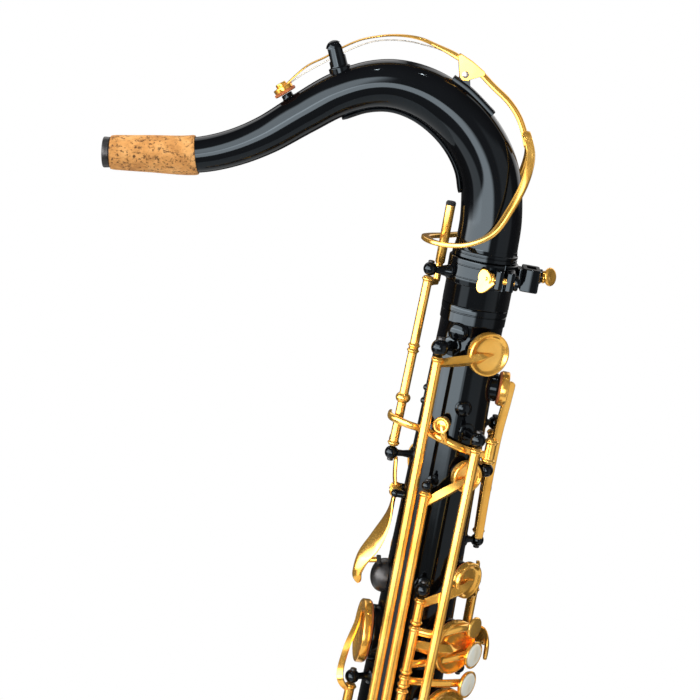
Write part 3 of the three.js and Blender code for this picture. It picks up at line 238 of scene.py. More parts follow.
def sweep(points, section, facing, steps=None, size=None, ends=(0.0, 0.0), closed=False):
    """A section carried along a smooth path. facing gives the direction of its second
    axis, size scales it along the path, and ends rounds its two ends off."""
    path = catmull(points, closed)
    rough = norm(np.diff(path, axis=0), axis=1).sum()
    steps = steps or int(max(8, min(160, rough / 0.9)))
    shares = list(np.linspace(0, 1, steps, endpoint=not closed))
    if not closed:
        for end, at in ((ends[0], 0.0), (ends[1], 1.0)):
            for q in (0.0, 0.08, 0.22, 0.42, 0.7) if end > 0 else ():
                shares.append(abs(at - q * end / rough))
    shares = sorted(set(round(float(s), 5) for s in shares if 0 <= s <= 1))
    middle, length = resample(path, shares, closed)
    place = (lambda s: s % 1) if closed else (lambda s: min(1, max(0, s)))
    ahead = resample(path, [place(s + 2e-3) for s in shares], closed)[0]
    behind = resample(path, [place(s - 2e-3) for s in shares], closed)[0]
    rings = []
    for s, c, tangent in zip(shares, middle, ahead - behind):
        tangent = unit(tangent)
        normal = facing(c) if callable(facing) else np.asarray(facing, float)
        normal = unit(normal - tangent * normal.dot(tangent))
        side = np.cross(normal, tangent)
        su = sv = 1.0
        if size is not None:
            scale = size(s)
            su, sv = scale if isinstance(scale, tuple) else (scale, scale)
        for end, distance in ((ends[0], s * length), (ends[1], (1 - s) * length)):
            if not closed and end > 0 and distance < end:
                q = max(0.02, sqrt(max(0.0, 1 - (1 - distance / end) ** 2)))
                su *= q
                sv *= 0.55 + 0.45 * q
        rings.append([c + side * (x * su) + normal * (y * sv) for x, y in section])
    return loft(rings, closed)


def plate(outline, origin, u, v, thickness, bevel=0.35):
    """A flat plate with a chamfered edge from an outline of (u, v) points."""
    w = unit(np.cross(u, v))
    outline = np.asarray(outline, float)
    middle = outline.mean(0)
    reach = norm(outline - middle, axis=1)[:, None]
    half = thickness / 2
    rings = []
    for height, inset in ((-half, bevel), (-half + bevel, 0), (half - bevel, 0), (half, bevel)):
        shrunk = middle + (outline - middle) * (1 - inset / reach)
        rings.append([origin + u * x + v * y + w * height for x, y in shrunk])
    return loft(rings)


def box_shell(centre, size, bevel):
    outline = round_rect(size[0], size[1], bevel, 3)
    return plate(outline, centre, X_AXIS, LEFT, size[2], min(bevel, 0.45))


def turn_shell(shell, point, axis, degrees):
    """A shell turned about a hinge."""
    matrix = np.array(Matrix.Rotation(radians(degrees), 3, Vector(axis)))
    return (shell[0] - point) @ matrix.T + point, shell[1]


# ---- Materials -----------------------------------------------------------------------

class Tree:
    """A node tree, with the steps that the looks and the world share."""

    def __init__(self, tree):
        self.nodes, self.links = tree.nodes, tree.links

    def fill(self, node, inputs):
        """Link or set the named inputs of a node."""
        for name, value in inputs.items():
            if isinstance(value, bpy.types.NodeSocket):
                self.links.new(value, node.inputs[name])
            else:
                node.inputs[name].default_value = value
        return node

    def add(self, kind, inputs, **settings):
        node = self.nodes.new("ShaderNode" + kind)
        for name, value in settings.items():
            setattr(node, name, value)
        return self.fill(node, inputs)

    def ramp(self, value, stops):
        node = self.add("ValToRGB", {"Fac": value})
        elements = node.color_ramp.elements
        while len(elements) < len(stops):
            elements.new(0.5)
        for element, (position, colour) in zip(elements, stops):
            element.position = position
            element.color = (*colour, 1)
        return node.outputs["Color"]

    def remap(self, value, low, high, to_low=0.0, to_high=1.0, easing="LINEAR"):
        inputs = {"Value": value, "From Min": low, "From Max": high, "To Min": to_low, "To Max": to_high}
        return self.add("MapRange", inputs, interpolation_type=easing).outputs["Result"]

    def arithmetic(self, operation, a, b):
        return self.add("Math", {0: a, 1: b}, operation=operation).outputs["Value"]


class Look(Tree):
    """A material, its shader and the object coordinates that its patterns lie in."""

    def __init__(self, name):
        self.material = bpy.data.materials.new(name)
        self.material.use_nodes = True
        super().__init__(self.material.node_tree)
        self.shader = self.nodes["Principled BSDF"]
        self.at = self.add("TexCoord", {}).outputs["Object"]

    def noise(self, scale, detail=4.0, roughness=0.5, stretch=None):
        at = self.at
        if stretch:
            at = self.add("Mapping", {"Vector": at, "Scale": stretch}).outputs["Vector"]
        inputs = {"Vector": at, "Scale": scale, "Detail": detail, "Roughness": roughness}
        return self.add("TexNoise", inputs).outputs["Fac"]

    def bump(self, height, strength, distance):
        inputs = {"Height": height, "Strength": strength, "Distance": distance}
        self.fill(self.shader, {"Normal": self.add("Bump", inputs).outputs["Normal"]})


def plain_look(name, tone, stops, rough, relief, inputs):
    """A look whose colour and roughness follow one noise. Its relief is a noise with a
    strength and a depth, and inputs go to the shader as they are."""
    look = Look(name)
    tone = look.noise(*tone)
    look.fill(look.shader, {"Base Color": look.ramp(tone, stops), **inputs})
    if rough:
        look.fill(look.shader, {"Roughness": look.remap(tone, *rough)})
    if relief:
        look.bump(look.noise(*relief[0]), *relief[1:])
    return look.material


def cork():
    """Warm cork with dark flecks, round and streaky, that lie a little deeper."""
    look = Look("cork")
    grain = look.noise(420, 8, 0.7)
    tones = [(0.3, (0.44, 0.19, 0.05)), (0.5, (0.64, 0.30, 0.085)), (0.72, (0.78, 0.42, 0.15))]
    base = look.ramp(look.noise(130, 3, 0.5), tones)
    masks = []
    for pattern, core, edge, grey in (((620, 5, 0.75), 0.39, 0.44, 0.9),
                                      ((330, 6, 0.8, (0.6, 1.5, 1.5)), 0.37, 0.43, 0.85)):
        stops = [(0.0, (1, 1, 1)), (core, (grey, grey, grey)), (edge, (0, 0, 0)), (1.0, (0, 0, 0))]
        masks.append(look.ramp(look.noise(*pattern), stops))
    inputs = {"Fac": 1.0, "Color1": masks[0], "Color2": masks[1]}
    flecks = look.add("MixRGB", inputs, blend_type="LIGHTEN").outputs["Color"]
    inputs = {"Fac": flecks, "Color1": base, "Color2": (0.05, 0.018, 0.008, 1)}
    look.fill(look.shader, {"Base Color": look.add("MixRGB", inputs).outputs["Color"],
                            "Roughness": look.remap(grain, 0.2, 0.8, 0.72, 0.95)})
    look.bump(look.arithmetic("SUBTRACT", grain, flecks), 0.55, 0.0006)
    return look.material


# Noise scale, detail, roughness and stretch; colour stops; how the noise becomes roughness
# (from low, high to low, high); relief; other shader inputs.
LOOKS = {
    "black_lacquer": ((34, 4, 0.55), [(0.3, (0.0016, 0.0017, 0.0022)), (0.75, (0.0032, 0.0034, 0.0045))],
                      (0.4, 0.75, 0.05, 0.1), ((130, 2, 0.4), 0.02, 0.0004),
                      {"Specular IOR Level": 0.28, "Specular Tint": (0.72, 0.88, 1.0, 1)}),
    "gold_lacquer": ((60, 3, 0.5), [(0.3, (0.84, 0.42, 0.065)), (0.5, (0.92, 0.50, 0.095)),
                                    (0.72, (0.97, 0.58, 0.14))],
                     (0.3, 0.72, 0.14, 0.22), ((160, 2, 0.4), 0.03, 0.0003), {"Metallic": 0.78}),
    "black_metal": ((160, 5, 0.6), [(0.3, (0.012, 0.012, 0.013)), (0.75, (0.035, 0.035, 0.037))],
                    (0.3, 0.7, 0.26, 0.42), ((900, 3, 0.5), 0.12, 0.0003), {"Metallic": 0.35}),
    "pad_leather": ((210, 5, 0.6), [(0.3, (0.30, 0.07, 0.018)), (0.7, (0.50, 0.155, 0.045))],
                    (0.3, 0.7, 0.5, 0.68), ((1500, 4, 0.6), 0.3, 0.0003), {}),
    "pearl": ((190, 6, 0.6, (1, 1, 0.4)), [(0.25, (0.72, 0.66, 0.50)), (0.45, (0.86, 0.82, 0.68)),
                                           (0.6, (0.80, 0.84, 0.78)), (0.8, (0.92, 0.88, 0.80))],
              (0.3, 0.7, 0.12, 0.24), None, {"Coat Weight": 0.8, "Sheen Weight": 0.2}),
    "steel": ((400, 4, 0.6, (1, 1, 0.2)), [(0.3, (0.36, 0.34, 0.29)), (0.7, (0.60, 0.57, 0.50))],
              (0.3, 0.7, 0.2, 0.38), None, {"Metallic": 1.0}),
    "felt": ((1800, 6, 0.75), [(0.3, (0.008, 0.008, 0.009)), (0.7, (0.03, 0.03, 0.032))],
             None, ((1800, 6, 0.75), 0.6, 0.0005), {"Roughness": 0.95}),
}
MATERIALS = {name: plain_look(name, *row) for name, row in LOOKS.items()}
MATERIALS["cork"] = cork()


# ---- Pieces --------------------------------------------------------------------------

SHARP_ANGLE = radians(38)


def mesh_object(name, shells):
    vertices, faces, start = [], [], 0
    for points, polygons in shells:
        vertices.append(points)
        faces += [tuple(i + start for i in polygon) for polygon in polygons]
        start += len(points)
    mesh = bpy.data.meshes.new(name)
    mesh.from_pydata(np.vstack(vertices).tolist(), [], faces)
    work = bmesh.new()
    work.from_mesh(mesh)
    bmesh.ops.recalc_face_normals(work, faces=work.faces)
    work.to_mesh(mesh)
    work.free()
    shape = bpy.data.objects.new(name, mesh)
    bpy.context.scene.collection.objects.link(shape)
    return shape


def piece(name, shells, slot="black_lacquer", body=BODY, replaces=()):
    """One named piece from closed shells drawn in the design frame."""
    if isinstance(shells, tuple):
        shells = [shells]
    shape = mesh_object(name, [(points / 1000 + TO_FRAME, faces) for points, faces in shells])
    shape.data.materials.append(MATERIALS[slot])
    shape.data.shade_smooth()
    shape.data.set_sharp_from_angle(angle=SHARP_ANGLE)
    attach(shape, body)
    if replaces:
        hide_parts(*replaces)


def stand_in(node, shells, slot="black_lacquer", body=BODY):
    """The piece that takes the place of one fixed CAD node."""
    piece(node + "_shape", shells, slot, body, (node,))


def carve(shells, cutters):
    """The shells with the cutters taken away."""
    whole = mesh_object("whole", shells)
    tool = mesh_object("tool", cutters)
    modifier = whole.modifiers.new("cut", "BOOLEAN")
    modifier.operation = "DIFFERENCE"
    modifier.solver = "EXACT"
    modifier.use_self = True
    modifier.object = tool
    bpy.context.view_layer.update()
    result = whole.evaluated_get(bpy.context.evaluated_depsgraph_get()).to_mesh()
    points = np.array([v.co for v in result.vertices], float)
    polygons = [tuple(p.vertices) for p in result.polygons]
    for shape in (whole, tool):
        data = shape.data
        bpy.data.objects.remove(shape)
        bpy.data.meshes.remove(data)
    return points, polygons


# ---- Tone holes, rods and posts ------------------------------------------------------

def hole(seat, normal, radius):
    return {"seat": seat, "normal": normal, "radius": radius}


def body_hole(degrees, z, radius):
    return hole(on_body(degrees, z, RIM_RISE), polar(1, degrees, 0), radius)


BELL_PROFILE = [(-620, 38.5), (-550, 40.6), (-460, 46.6), (-420, 51.4), (-390, 57), (-350, 70), (-341, 74.6),
                (BELL_RIM_Z, 77.4)]


def bell_radius(z):
    return float(np.interp(z, [p[0] for p in BELL_PROFILE], [p[1] for p in BELL_PROFILE]))


def bell_hole(side, z, radius):
    return hole(vec(BELL_X, 0, z) + side * (bell_radius(z) + RIM_RISE), side, radius)


def bow_centre(degrees):
    a = radians(degrees)
    return vec(BOW_RADIUS * (1 - cos(a)), 0, BODY_BOTTOM - BOW_RADIUS * sin(a))


def bow_tube_radius(t):
    start = body_radius(BODY_BOTTOM)
    return start + (BOW_END_RADIUS - start) * t


def bow_hole(side, degrees, radius):
    return hole(bow_centre(degrees) + side * (bow_tube_radius(degrees / 180) + RIM_RISE), side, radius)


HOLES = {
    "high_e": body_hole(-63, -42, 8.4),
    "palm_f": body_hole(0, -61, 6.8),
    "palm_e_flat": body_hole(65, -92, 7),
    "palm_d": body_hole(65, -130, 7.6),
    "high_f_sharp": body_hole(-62, -102, 5.6),
    "small_c": body_hole(-34, -154, 7.4),
    "b": body_hole(-38, -188, 12),
    "a": body_hole(-38, -224, 12.8),
    "g": body_hole(-38, -262, 13.6),
    "side_b_flat": body_hole(-172, -193, 13.6),
    "side_c": body_hole(-55, -303, 8),
    "g_sharp": body_hole(35, -296, 13),
    "f_sharp": body_hole(-62, -352, 16),
    "f": body_hole(-62, -393, 17),
    "e": body_hole(-62, -437, 18),
    "d": body_hole(-62, -484, 19.3),
    "e_flat": body_hole(-62, -548, 16.5),
    "low_c_sharp": bell_hole(LEFT, -575, 20),
    "low_b": bell_hole(RIGHT, -545, 21),
    "low_b_flat": bell_hole(RIGHT, -487, 22),
    "low_c": bow_hole(RIGHT, 40, 19.5),
}


def rod_on_body(degrees, above, top_z, bottom_z):
    return on_body(degrees, top_z, above), on_body(degrees, bottom_z, above)


SIDE_END = -322
RODS = {
    "high_e": (vec(-13.7, -23, -46.5), vec(-14.2, -31.6, SIDE_END)),
    "high_f_sharp": (vec(-7.6, -25.8, -111), vec(-7.8, -32.2, SIDE_END)),
    "side_c": (vec(11.8, -27, -85.5), vec(8.1, -37, SIDE_END)),
    "side_b_flat": rod_on_body(-150, 9.5, -217, SIDE_END),
    "palm_e_flat": rod_on_body(112, 7.5, -78, -104),
    "palm_d": rod_on_body(112, 7.5, -116, -150),
    "palm_f": (vec(21, 9, -84), vec(23.4, 8, -136.5)),
    "front_f": (vec(26.8, 11, -165), vec(27.2, 11, -205)),
    "octave": (vec(-24.6, -8.4, -12), vec(-26.4, -8.6, -96)),
    "upper_stack": (vec(-0.1, -25, -163.5), vec(-1.4, -29.5, -284)),
    "g_sharp": rod_on_body(85, 7.5, -282, -342),
    "lower_stack": rod_on_body(-118, 8, -336, -512),
    "e_flat": rod_on_body(-120, 8, -521, -566),
    "low_c": rod_on_body(-136, 8, -505, -604),
    "low_b": (vec(60, -35, -446), vec(60, -35, -576)),
    "low_b_flat": (vec(69, -39, -430), vec(69, -39, -515)),
    "low_c_sharp": (vec(69, 38, -440), vec(69, 38, -600)),
}
TABLE_DEGREES = 88
TABLE_TOP = -352
TABLE_STEP = 24
RODS["table"] = rod_on_body(TABLE_DEGREES, 8, TABLE_TOP, TABLE_TOP - 3 * TABLE_STEP + 1)
BALLS = {"high_e": 4.2, "high_f_sharp": 2.6, "side_c": 3.7, "side_b_flat": 3.5, "palm_e_flat": 3.0,
         "palm_d": 3.0, "palm_f": 3.3, "front_f": 3.0, "octave": 3.3, "upper_stack": 3.7, "g_sharp": 3.0,
         "lower_stack": 3.8, "e_flat": 3.0, "low_c": 3.3, "table": 3.3, "low_b": 3.3, "low_b_flat": 3.3,
         "low_c_sharp": 3.3}


def rod_point(rod, z):
    top, bottom = rod
    return bottom + (top - bottom) * (z - bottom[2]) / (top[2] - bottom[2])


def tone_hole(spot):
    """The drawn chimney of a tone hole with its rolled rim."""
    r = spot["radius"]
    depth = 6 if r < 8 else r * 0.62 + 3
    profile = ([(r, -depth), (r, -0.9)] + arc(r - 0.6, -0.6, 0.6, 0, 90, 5)
               + arc(r - 0.9, -0.6, 0.6, 90, 180, 5) + [(r - 1.5, -depth)])
    return turned(profile, spot["seat"], spot["normal"], 56, closed=True)


def ball_place(rod, end, radius):
    top, bottom = rod
    along = unit(top - bottom)
    return end + along * (radius + GAP) * (1 if end is top else -1)


def post(centre, radius, foot):
    """A turned post: foot plate, waisted stem and ball."""
    direction = unit(centre - foot)
    height = norm(centre - foot)
    profile = ([(radius * 1.15, -1.2), (radius * 1.15, 0.5)] + arc(radius * 0.95, 0.5, radius * 0.2, 0, 80, 4)
               + [(radius * 0.62, 1.5), (radius * 0.46, height * 0.5), (radius * 0.5, height - radius * 0.7)])
    return [turned(profile, foot, direction, 28), ball(centre, radius, 32)]


def screw_head(centre, radius, along):
    start = centre + along * (radius * 0.86)
    head = radius * 0.46
    rise = radius * 0.24
    cap = [(head * 0.9, 0), (head, 0.2)] + arc(head - 0.4, rise, 0.4, 0, 80, 4) + [(0.02, rise + 0.42)]
    return turned(cap, start, along, 20)


def posts_for(names, foot_of):
    """The posts at both ends of the named rods, and their screws."""
    shells, screws = [], []
    for name in names:
        rod, radius = RODS[name], BALLS[name]
        along = unit(rod[0] - rod[1])
        for end, sign in ((rod[0], 1), (rod[1], -1)):
            if (name, sign) == ("octave", 1):
                continue  # this post stands on the receiver
            centre = ball_place(rod, end, radius)
            shells += post(centre, radius, foot_of(centre))
            screws.append(screw_head(centre, radius, along * sign))
    return shells, screws


def wall_foot(centre, radius):
    flat = unit(outwards(centre)) * radius
    return vec(flat[0], flat[1], centre[2])


def body_foot(centre):
    return wall_foot(centre, body_radius(centre[2]) - 0.2)


def bell_foot(centre):
    axis_point = vec(BELL_X, 0, centre[2])
    return axis_point + unit(centre - axis_point) * (bell_radius(centre[2]) - 0.3)


def sleeve(top, bottom, radius=ROD_RADIUS, collars=()):
    """A key's hinge tube with a collar at each end and wherever an arm is soldered on."""
    length = norm(top - bottom)
    shells = [bar(bottom, top, radius, bevel=0.2)]
    along = unit(top - bottom)
    bead = [(radius + 0.1, -1.15)] + arc(radius + 0.18, 0, 0.55, -70, 70, 7) + [(radius + 0.1, 1.15)]
    for at in (1.3, length - 1.3, *collars):
        shells.append(turned(bead, bottom + along * at, along, 28))
    return shells


def pad_cup(spot, overhang=2.1):
    """The key cup, its pad and the resonator, shut on the tone hole."""
    r = spot["radius"] + overhang
    base = spot["seat"] + spot["normal"] * GAP
    low = 0.9
    top = CUP_HEIGHT - 1.0
    floor = top - 1.1
    cup = ([(r - 0.9, low), (r - 0.35, low)] + arc(r - 0.35, low + 0.35, 0.35, -90, 0, 4)
           + arc(r - 0.7, top - 0.2, 0.7, 0, 120, 6)
           + [(r - 1.6, top - 0.15), (r * 0.72, floor + 0.15), (r * 0.45, floor), (r * 0.3, floor + 0.25),
              (0, floor + 0.4)])
    pad = [(0, 0.05), (r * 0.86, 0)] + arc(r - 1.1, 0.7, 0.7, -80, 80, 7) + [(0, 1.5)]
    resonator = [(0, -0.5), (r * 0.2, -0.42), (r * 0.36, -0.1), (r * 0.38, 0.2), (0, 0.3)]
    return (turned(cup, base, spot["normal"], 64), turned(pad, base, spot["normal"], 56),
            turned(resonator, base, spot["normal"], 40))


def cup_arm(rod, spot, from_z=None, width=ARM_WIDTH):
    """The arm from a rod over the rim of its cup to the middle, thinning towards its end."""
    start = rod_point(rod, spot["seat"][2] if from_z is None else from_z)
    top = spot["seat"] + spot["normal"] * CUP_HEIGHT
    reach = start - spot["seat"]
    reach = unit(reach - spot["normal"] * reach.dot(spot["normal"]))
    rim = top + reach * spot["radius"] * 0.8 + spot["normal"] * 0.5
    end = top - reach * spot["radius"] * 0.25 - spot["normal"] * 0.9
    size = lambda t: (1 + 0.35 * sin(pi * min(1, t * 1.1)) - 0.75 * max(0, t - 0.72) / 0.28,
                      1 - 0.35 * max(0, t - 0.7) / 0.3)
    return sweep([start, rim, top, end], ridged(width * 1.25, 3.4), spot["normal"], 44, size, ends=(0, 1.5))


def paddle(points, width, facing, thickness=2.4):
    """A touch piece that swells from its rod and ends round."""
    swell = lambda t: (0.5 + 0.5 * sin(pi * min(1, t * 1.15)), 1.0)
    return sweep(points, oval(width, thickness, 28), facing, 48, swell, ends=(0, width * 0.42))


def pearl_button(centre, normal, radius=7.0):
    """The gold dish and the pearl set in it."""
    dish = ([(0, -2), (radius * 0.55, -1.9), (radius * 0.9, -0.9)]
            + arc(radius - 0.45, 0.75, 0.45, -20, 170, 7) + [(radius - 1.1, 0.4), (0, 0.3)])
    stone = ([(0, 0.2), (radius - 1.2, 0.3), (radius - 1.1, 0.9)] + arc(radius - 2.1, 0.6, 1.0, 30, 88, 5)
             + [(0, 1.75)])
    return turned(dish, centre, normal, 44), turned(stone, centre, normal, 44)


# ---- Keys ----------------------------------------------------------------------------

def key(name, gold, pads=(), resonators=(), pearls=(), extras=()):
    """The pieces of one key. They are drawn shut and turned to the place where they rest."""
    joint = next(joint for joint in frame["joints"] if joint["child"] == name)
    axis = np.array(joint["axis"], float)
    point = (np.array(joint["pos_m"], float) - TO_FRAME) * 1000
    lift = -joint["range_deg"][0]
    settle = lambda shells: [turn_shell(s, point, axis, lift) for s in shells]
    piece(name + "_metal", settle(gold), "gold_lacquer", name, (name,))
    for label, shells, slot in (("pad", pads, "pad_leather"), ("resonator", resonators, "gold_lacquer"),
                                ("pearl", pearls, "pearl"), *extras):
        if shells:
            piece(name + "_" + label, settle(shells), slot, name)


# ---- Neck ----------------------------------------------------------------------------

NECK_CURVE = catmull([vec(x, 0, z) for x, z in ((-183, 17.7), (-165, 20.3), (-142.4, 23.8), (-126.3, 30.1),
                                                (-112, 38.9), (-96, 52.3), (-82.2, 63.3), (-68, 70.6),
                                                (-55.5, 73), (-41.6, 71.2), (-27.9, 65.2), (-17.8, 57.6),
                                                (-9.4, 47.6), (-4, 36.7), (-0.5, 19.4), (0, 8), (0, 0))],
                     per=30)
NECK_RADII = ((0, 7), (0.169, 8.5), (0.24, 8.75), (0.3, 9.1), (0.39, 9.9), (0.463, 10.4), (0.574, 11.6),
              (0.695, 12.9), (0.797, 13.8), (0.918, 14.7), (1, 14.9))
CORK_SHARE = 0.166
TENON_RADIUS = 13.9
WALL = 1.2
PIP_BASE, PIP_TOP = vec(-103.5, 0, 57), vec(-105.7, 0, 59.6)
GUIDE_BASE, GUIDE_TOP = vec(-82.4, 0, 74.1), vec(-88.6, 0, 87.8)
NECK_HINGE = vec(-25.1, 0, 83.5)
OFF_NECK = away_from(-50, 0, 20)


def neck_radius(share):
    near = np.interp([share - 0.03, share - 0.015, share, share + 0.015, share + 0.03],
                     [p[0] for p in NECK_RADII], [p[1] for p in NECK_RADII])
    return float(near.mean())


def neck_at(share):
    """A place on the neck's centre line and the line's direction there."""
    points, length = resample(NECK_CURVE, [np.clip(share - 1e-3, 0, 1), np.clip(share, 0, 1),
                                           np.clip(share + 1e-3, 0, 1)])
    tangent = unit(points[2] - points[0])
    return points[1] + tangent * (min(share, 0) + max(share - 1, 0)) * length, tangent


def neck_ring(share, radius):
    centre, tangent = neck_at(share)
    return upright_ring(centre, tangent, radius, 72)


def neck_sleeve(start, end, outer, inner, steps):
    """A sleeve round the neck between two shares of its length."""
    shares = np.linspace(start, end, steps)
    rings = [neck_ring(s, outer(s)) for s in shares] + [neck_ring(s, inner(s)) for s in shares[::-1]]
    return loft(rings, closed=True)


def build_neck():
    tube = neck_sleeve(0, 1, neck_radius, lambda s: neck_radius(s) - WALL, 190)
    bore = TENON_RADIUS - WALL
    collar = ([(bore, -20), (TENON_RADIUS - 0.3, -20), (TENON_RADIUS, -19.6), (TENON_RADIUS, 0.1),
               (15.4, 0.1), (15.6, 0.3), (15.6, 1.8), (15.3, 2.0), (15.3, 2.3), (15.6, 2.5)]
              + arc(15.3, 3.3, 0.3, 0, 80, 5) + [(15.15, 4.0), (15.0, 5.6), (bore, 5.8)])
    stand_in("neck_tube", [tube, turned(collar, ORIGIN, UP, 96, closed=True)], body=NECK)

    cork_radius = lambda s: (8.15 + 1.35 * s / CORK_SHARE - 0.35 * max(0.0, 1 - s / CORK_SHARE * 14) ** 2
                             - 0.3 * max(0.0, 1 - (CORK_SHARE - s) / CORK_SHARE * 30) ** 2)
    cork = neck_sleeve(0.001, CORK_SHARE, cork_radius, lambda s: neck_radius(s) + 0.05, 70)
    stand_in("neck_cork", cork, "cork", NECK)

    start, tangent = neck_at(0)
    end_ring = ([(5.6, 0.1), (6.8, 0.1)] + arc(6.8, 0.5, 0.4, -80, 10, 4) + [(7.25, 1.8)]
                + arc(6.7, 2.8, 0.6, 0, 85, 5) + [(6.1, 3.5), (5.6, 3.2)])
    stand_in("neck_end_ring", turned(end_ring, start, -tangent, 64, closed=True), "black_metal", NECK)

    axis = unit(PIP_TOP - PIP_BASE)
    height = norm(PIP_TOP - PIP_BASE)
    pip = [(4.4, -3), (4.2, 0.3), (3.2, 1.0), (2.7, 1.8), (2.7, height - 0.3), (2.4, height), (1.2, height),
           (1.2, -3)]
    stand_in("neck_octave_pip", turned(pip, PIP_BASE, axis, 36, closed=True), body=NECK)

    axis = unit(GUIDE_TOP - GUIDE_BASE)
    tall = norm(GUIDE_TOP - GUIDE_BASE)
    guide = ([(5.1, -3.5), (5.2, 2.0)] + arc(4.8, 2.1, 0.4, 0, 85, 4)
             + [(4.3, 2.7), (4.15, 3.3), (4.15, tall - 3.8)] + arc(0.0, tall - 4.15, 4.15, 8, 89, 9))
    slot = sweep([(-101.3, 0, 70.8), (-94.2, 0, 76.4), (-86.1, 0, 83.3), (-76, 0, 90)],
                 round_rect(5, 6.1, 0.8), vec(-0.6, 0, 0.8), 30)
    stand_in("octave_key_guide", carve([turned(guide, GUIDE_BASE, axis, 48)], [slot]), body=NECK)

    plate_line = [vec(-30.2, 0, 80.6), vec(-20.9, 0, 75.9), vec(-9, 0, 67.5)]
    saddle = [sweep(plate_line, round_rect(10, 3.2, 0.7), vec(0.5, 0, 0.85), 40)]
    web = ([(-3.4, -6.2), (4.4, -9.4), (2.4, -1)] + [(2.3 * cos(a), 2.3 * sin(a))
                                                     for a in np.radians(np.linspace(0, 190, 14))])
    saddle.append(plate(web, NECK_HINGE, X_AXIS, UP, 7.0, 0.4))
    stand_in("neck_key_saddle", saddle, body=NECK)
    screw = [turned([(1.5, 0), (1.7, 0.25), (1.6, 0.7), (1.2, 0.85), (0, 0.9)],
                    NECK_HINGE + vec(0, 5.5 * s, 0), vec(0, s, 0), 24) for s in (-1, 1)]
    piece("neck_key_screw", screw, "steel", NECK)

    points = []
    for share in np.arange(0.45, 0.911, 0.06):
        centre, tangent = neck_at(share)
        points.append(centre - np.cross(tangent, LEFT) * (neck_radius(share) + 0.6))
    brace = sweep(points, crowned(7.2, 2.2), lambda p: vec(-60, 0, 20) - p, 110, ends=(4, 4))
    stand_in("neck_brace", brace, body=NECK)


def build_neck_octave_key():
    xz = lambda pairs: [(x, 0, z) for x, z in pairs]
    top_line = xz(((-108, 62.7), (-98.7, 74.3), (-90.9, 80), (-84.3, 85.4), (-76.3, 90.6), (-69.2, 93.5),
                   (-62.1, 95.5), (-54, 96.6), (-47.2, 96.4), (-40.1, 94.8), (-31.4, 92.7), (-19.1, 87.5),
                   (-10.4, 81.5), (-1.7, 75.6), (4.4, 69.2), (8.4, 62.3), (11, 55.2)))
    depth = np.array([0.9, 0.9, 0.9, 0.9, 0.9, 0.95, 1.05, 1.3, 1.6, 1.9, 2.8, 3.0, 3.0, 3.0, 3.0, 3.0, 2.6])
    spine = [p - unit(OFF_NECK(p)) * d / 2 for p, d in zip(top_line, depth)]
    shares = np.cumsum([0] + [norm(b - a) for a, b in zip(spine, spine[1:])])
    strap = sweep(spine, crowned(3.6, 1), OFF_NECK, 170,
                  lambda t: (1, float(np.interp(t * shares[-1], shares, depth))), ends=(1.5, 1.5))
    half = [vec(8, 0, 61.6), vec(11.6, -9, 52.6), vec(10.8, -16, 40.6), vec(6.6, -19, 27.4),
            vec(0.3, -19.6, 14.5), vec(-9.5, -19, 7.7), vec(-18.9, -16, 5.2), vec(-26.3, -9.5, 4.6)]
    mirrored = [p * vec(1, -1, 1) for p in half[:0:-1]]
    loop = sweep(half + [vec(-29.3, 0, 4.8)] + mirrored, round_rect(2.1, 4.0, 0.5),
                 lambda p: vec(p[0] + 8, p[1], 0), 240, closed=True)
    cheeks = []
    for side in (-1, 1):
        outline = [(-4.9, 8.0), (-3.7, 8.8), (2.5, 6.2), (8.9, 2.4), (9.0, 1.2), (3.0, -1.7), (1.7, -2.8),
                   (-1.1, -2.9), (-2.4, -1.6)]
        cheeks.append(plate(outline, NECK_HINGE + vec(0, 4.7 * side, 0), X_AXIS, UP, 1.5, 0.3))
    crown = sweep(xz(((-30.4, 91.4), (-24, 88.7), (-16.4, 84.9))), crowned(10.9, 1.7), OFF_NECK, 30,
                  ends=(2, 2))
    direction = unit(PIP_TOP - PIP_BASE)
    seat = PIP_TOP + direction * GAP
    cup = turned([(0, 1.5), (4.3, 1.5), (4.65, 1.7)] + arc(4.4, 3.2, 0.35, 0, 80, 4)
                 + [(2.9, 3.7), (2.6, 3.9), (2.6, 4.8)] + arc(2.2, 5.0, 0.4, 0, 80, 4) + [(0, 5.5)], seat,
                 direction, 44)
    pad = turned([(0, 0), (4.9, 0), (5.35, 0.35), (5.35, 1.2), (5.0, 1.5), (0, 1.5)], seat, direction, 44)
    spring = sweep(xz(((-104.6, 65.1), (-98.9, 70.6), (-89.7, 77.9), (-82.5, 83.3), (-75.7, 87.7),
                       (-68.9, 91.0), (-61.6, 92.8), (-53.4, 93.6), (-46.6, 93.3), (-39.7, 92.6),
                       (-30.6, 90.4))), oval(0.54, 0.54, 10), away_from(3, 700, 11))
    key("neck_octave_key", [strap, loop, crown, cup] + cheeks, [pad], extras=(("spring", [spring], "steel"),))


# ---- Receiver ------------------------------------------------------------------------

CLAMP_RADIUS = 16.6
CLAMP_SCREW = vec(9.5, -22.9, -5.9)
THUMB_PLATE = vec(0.6, -22.9, -7.4)
LYRE_BLOCK = vec(23, 0, -6.1)
LYRE_SCREW_Z = -4


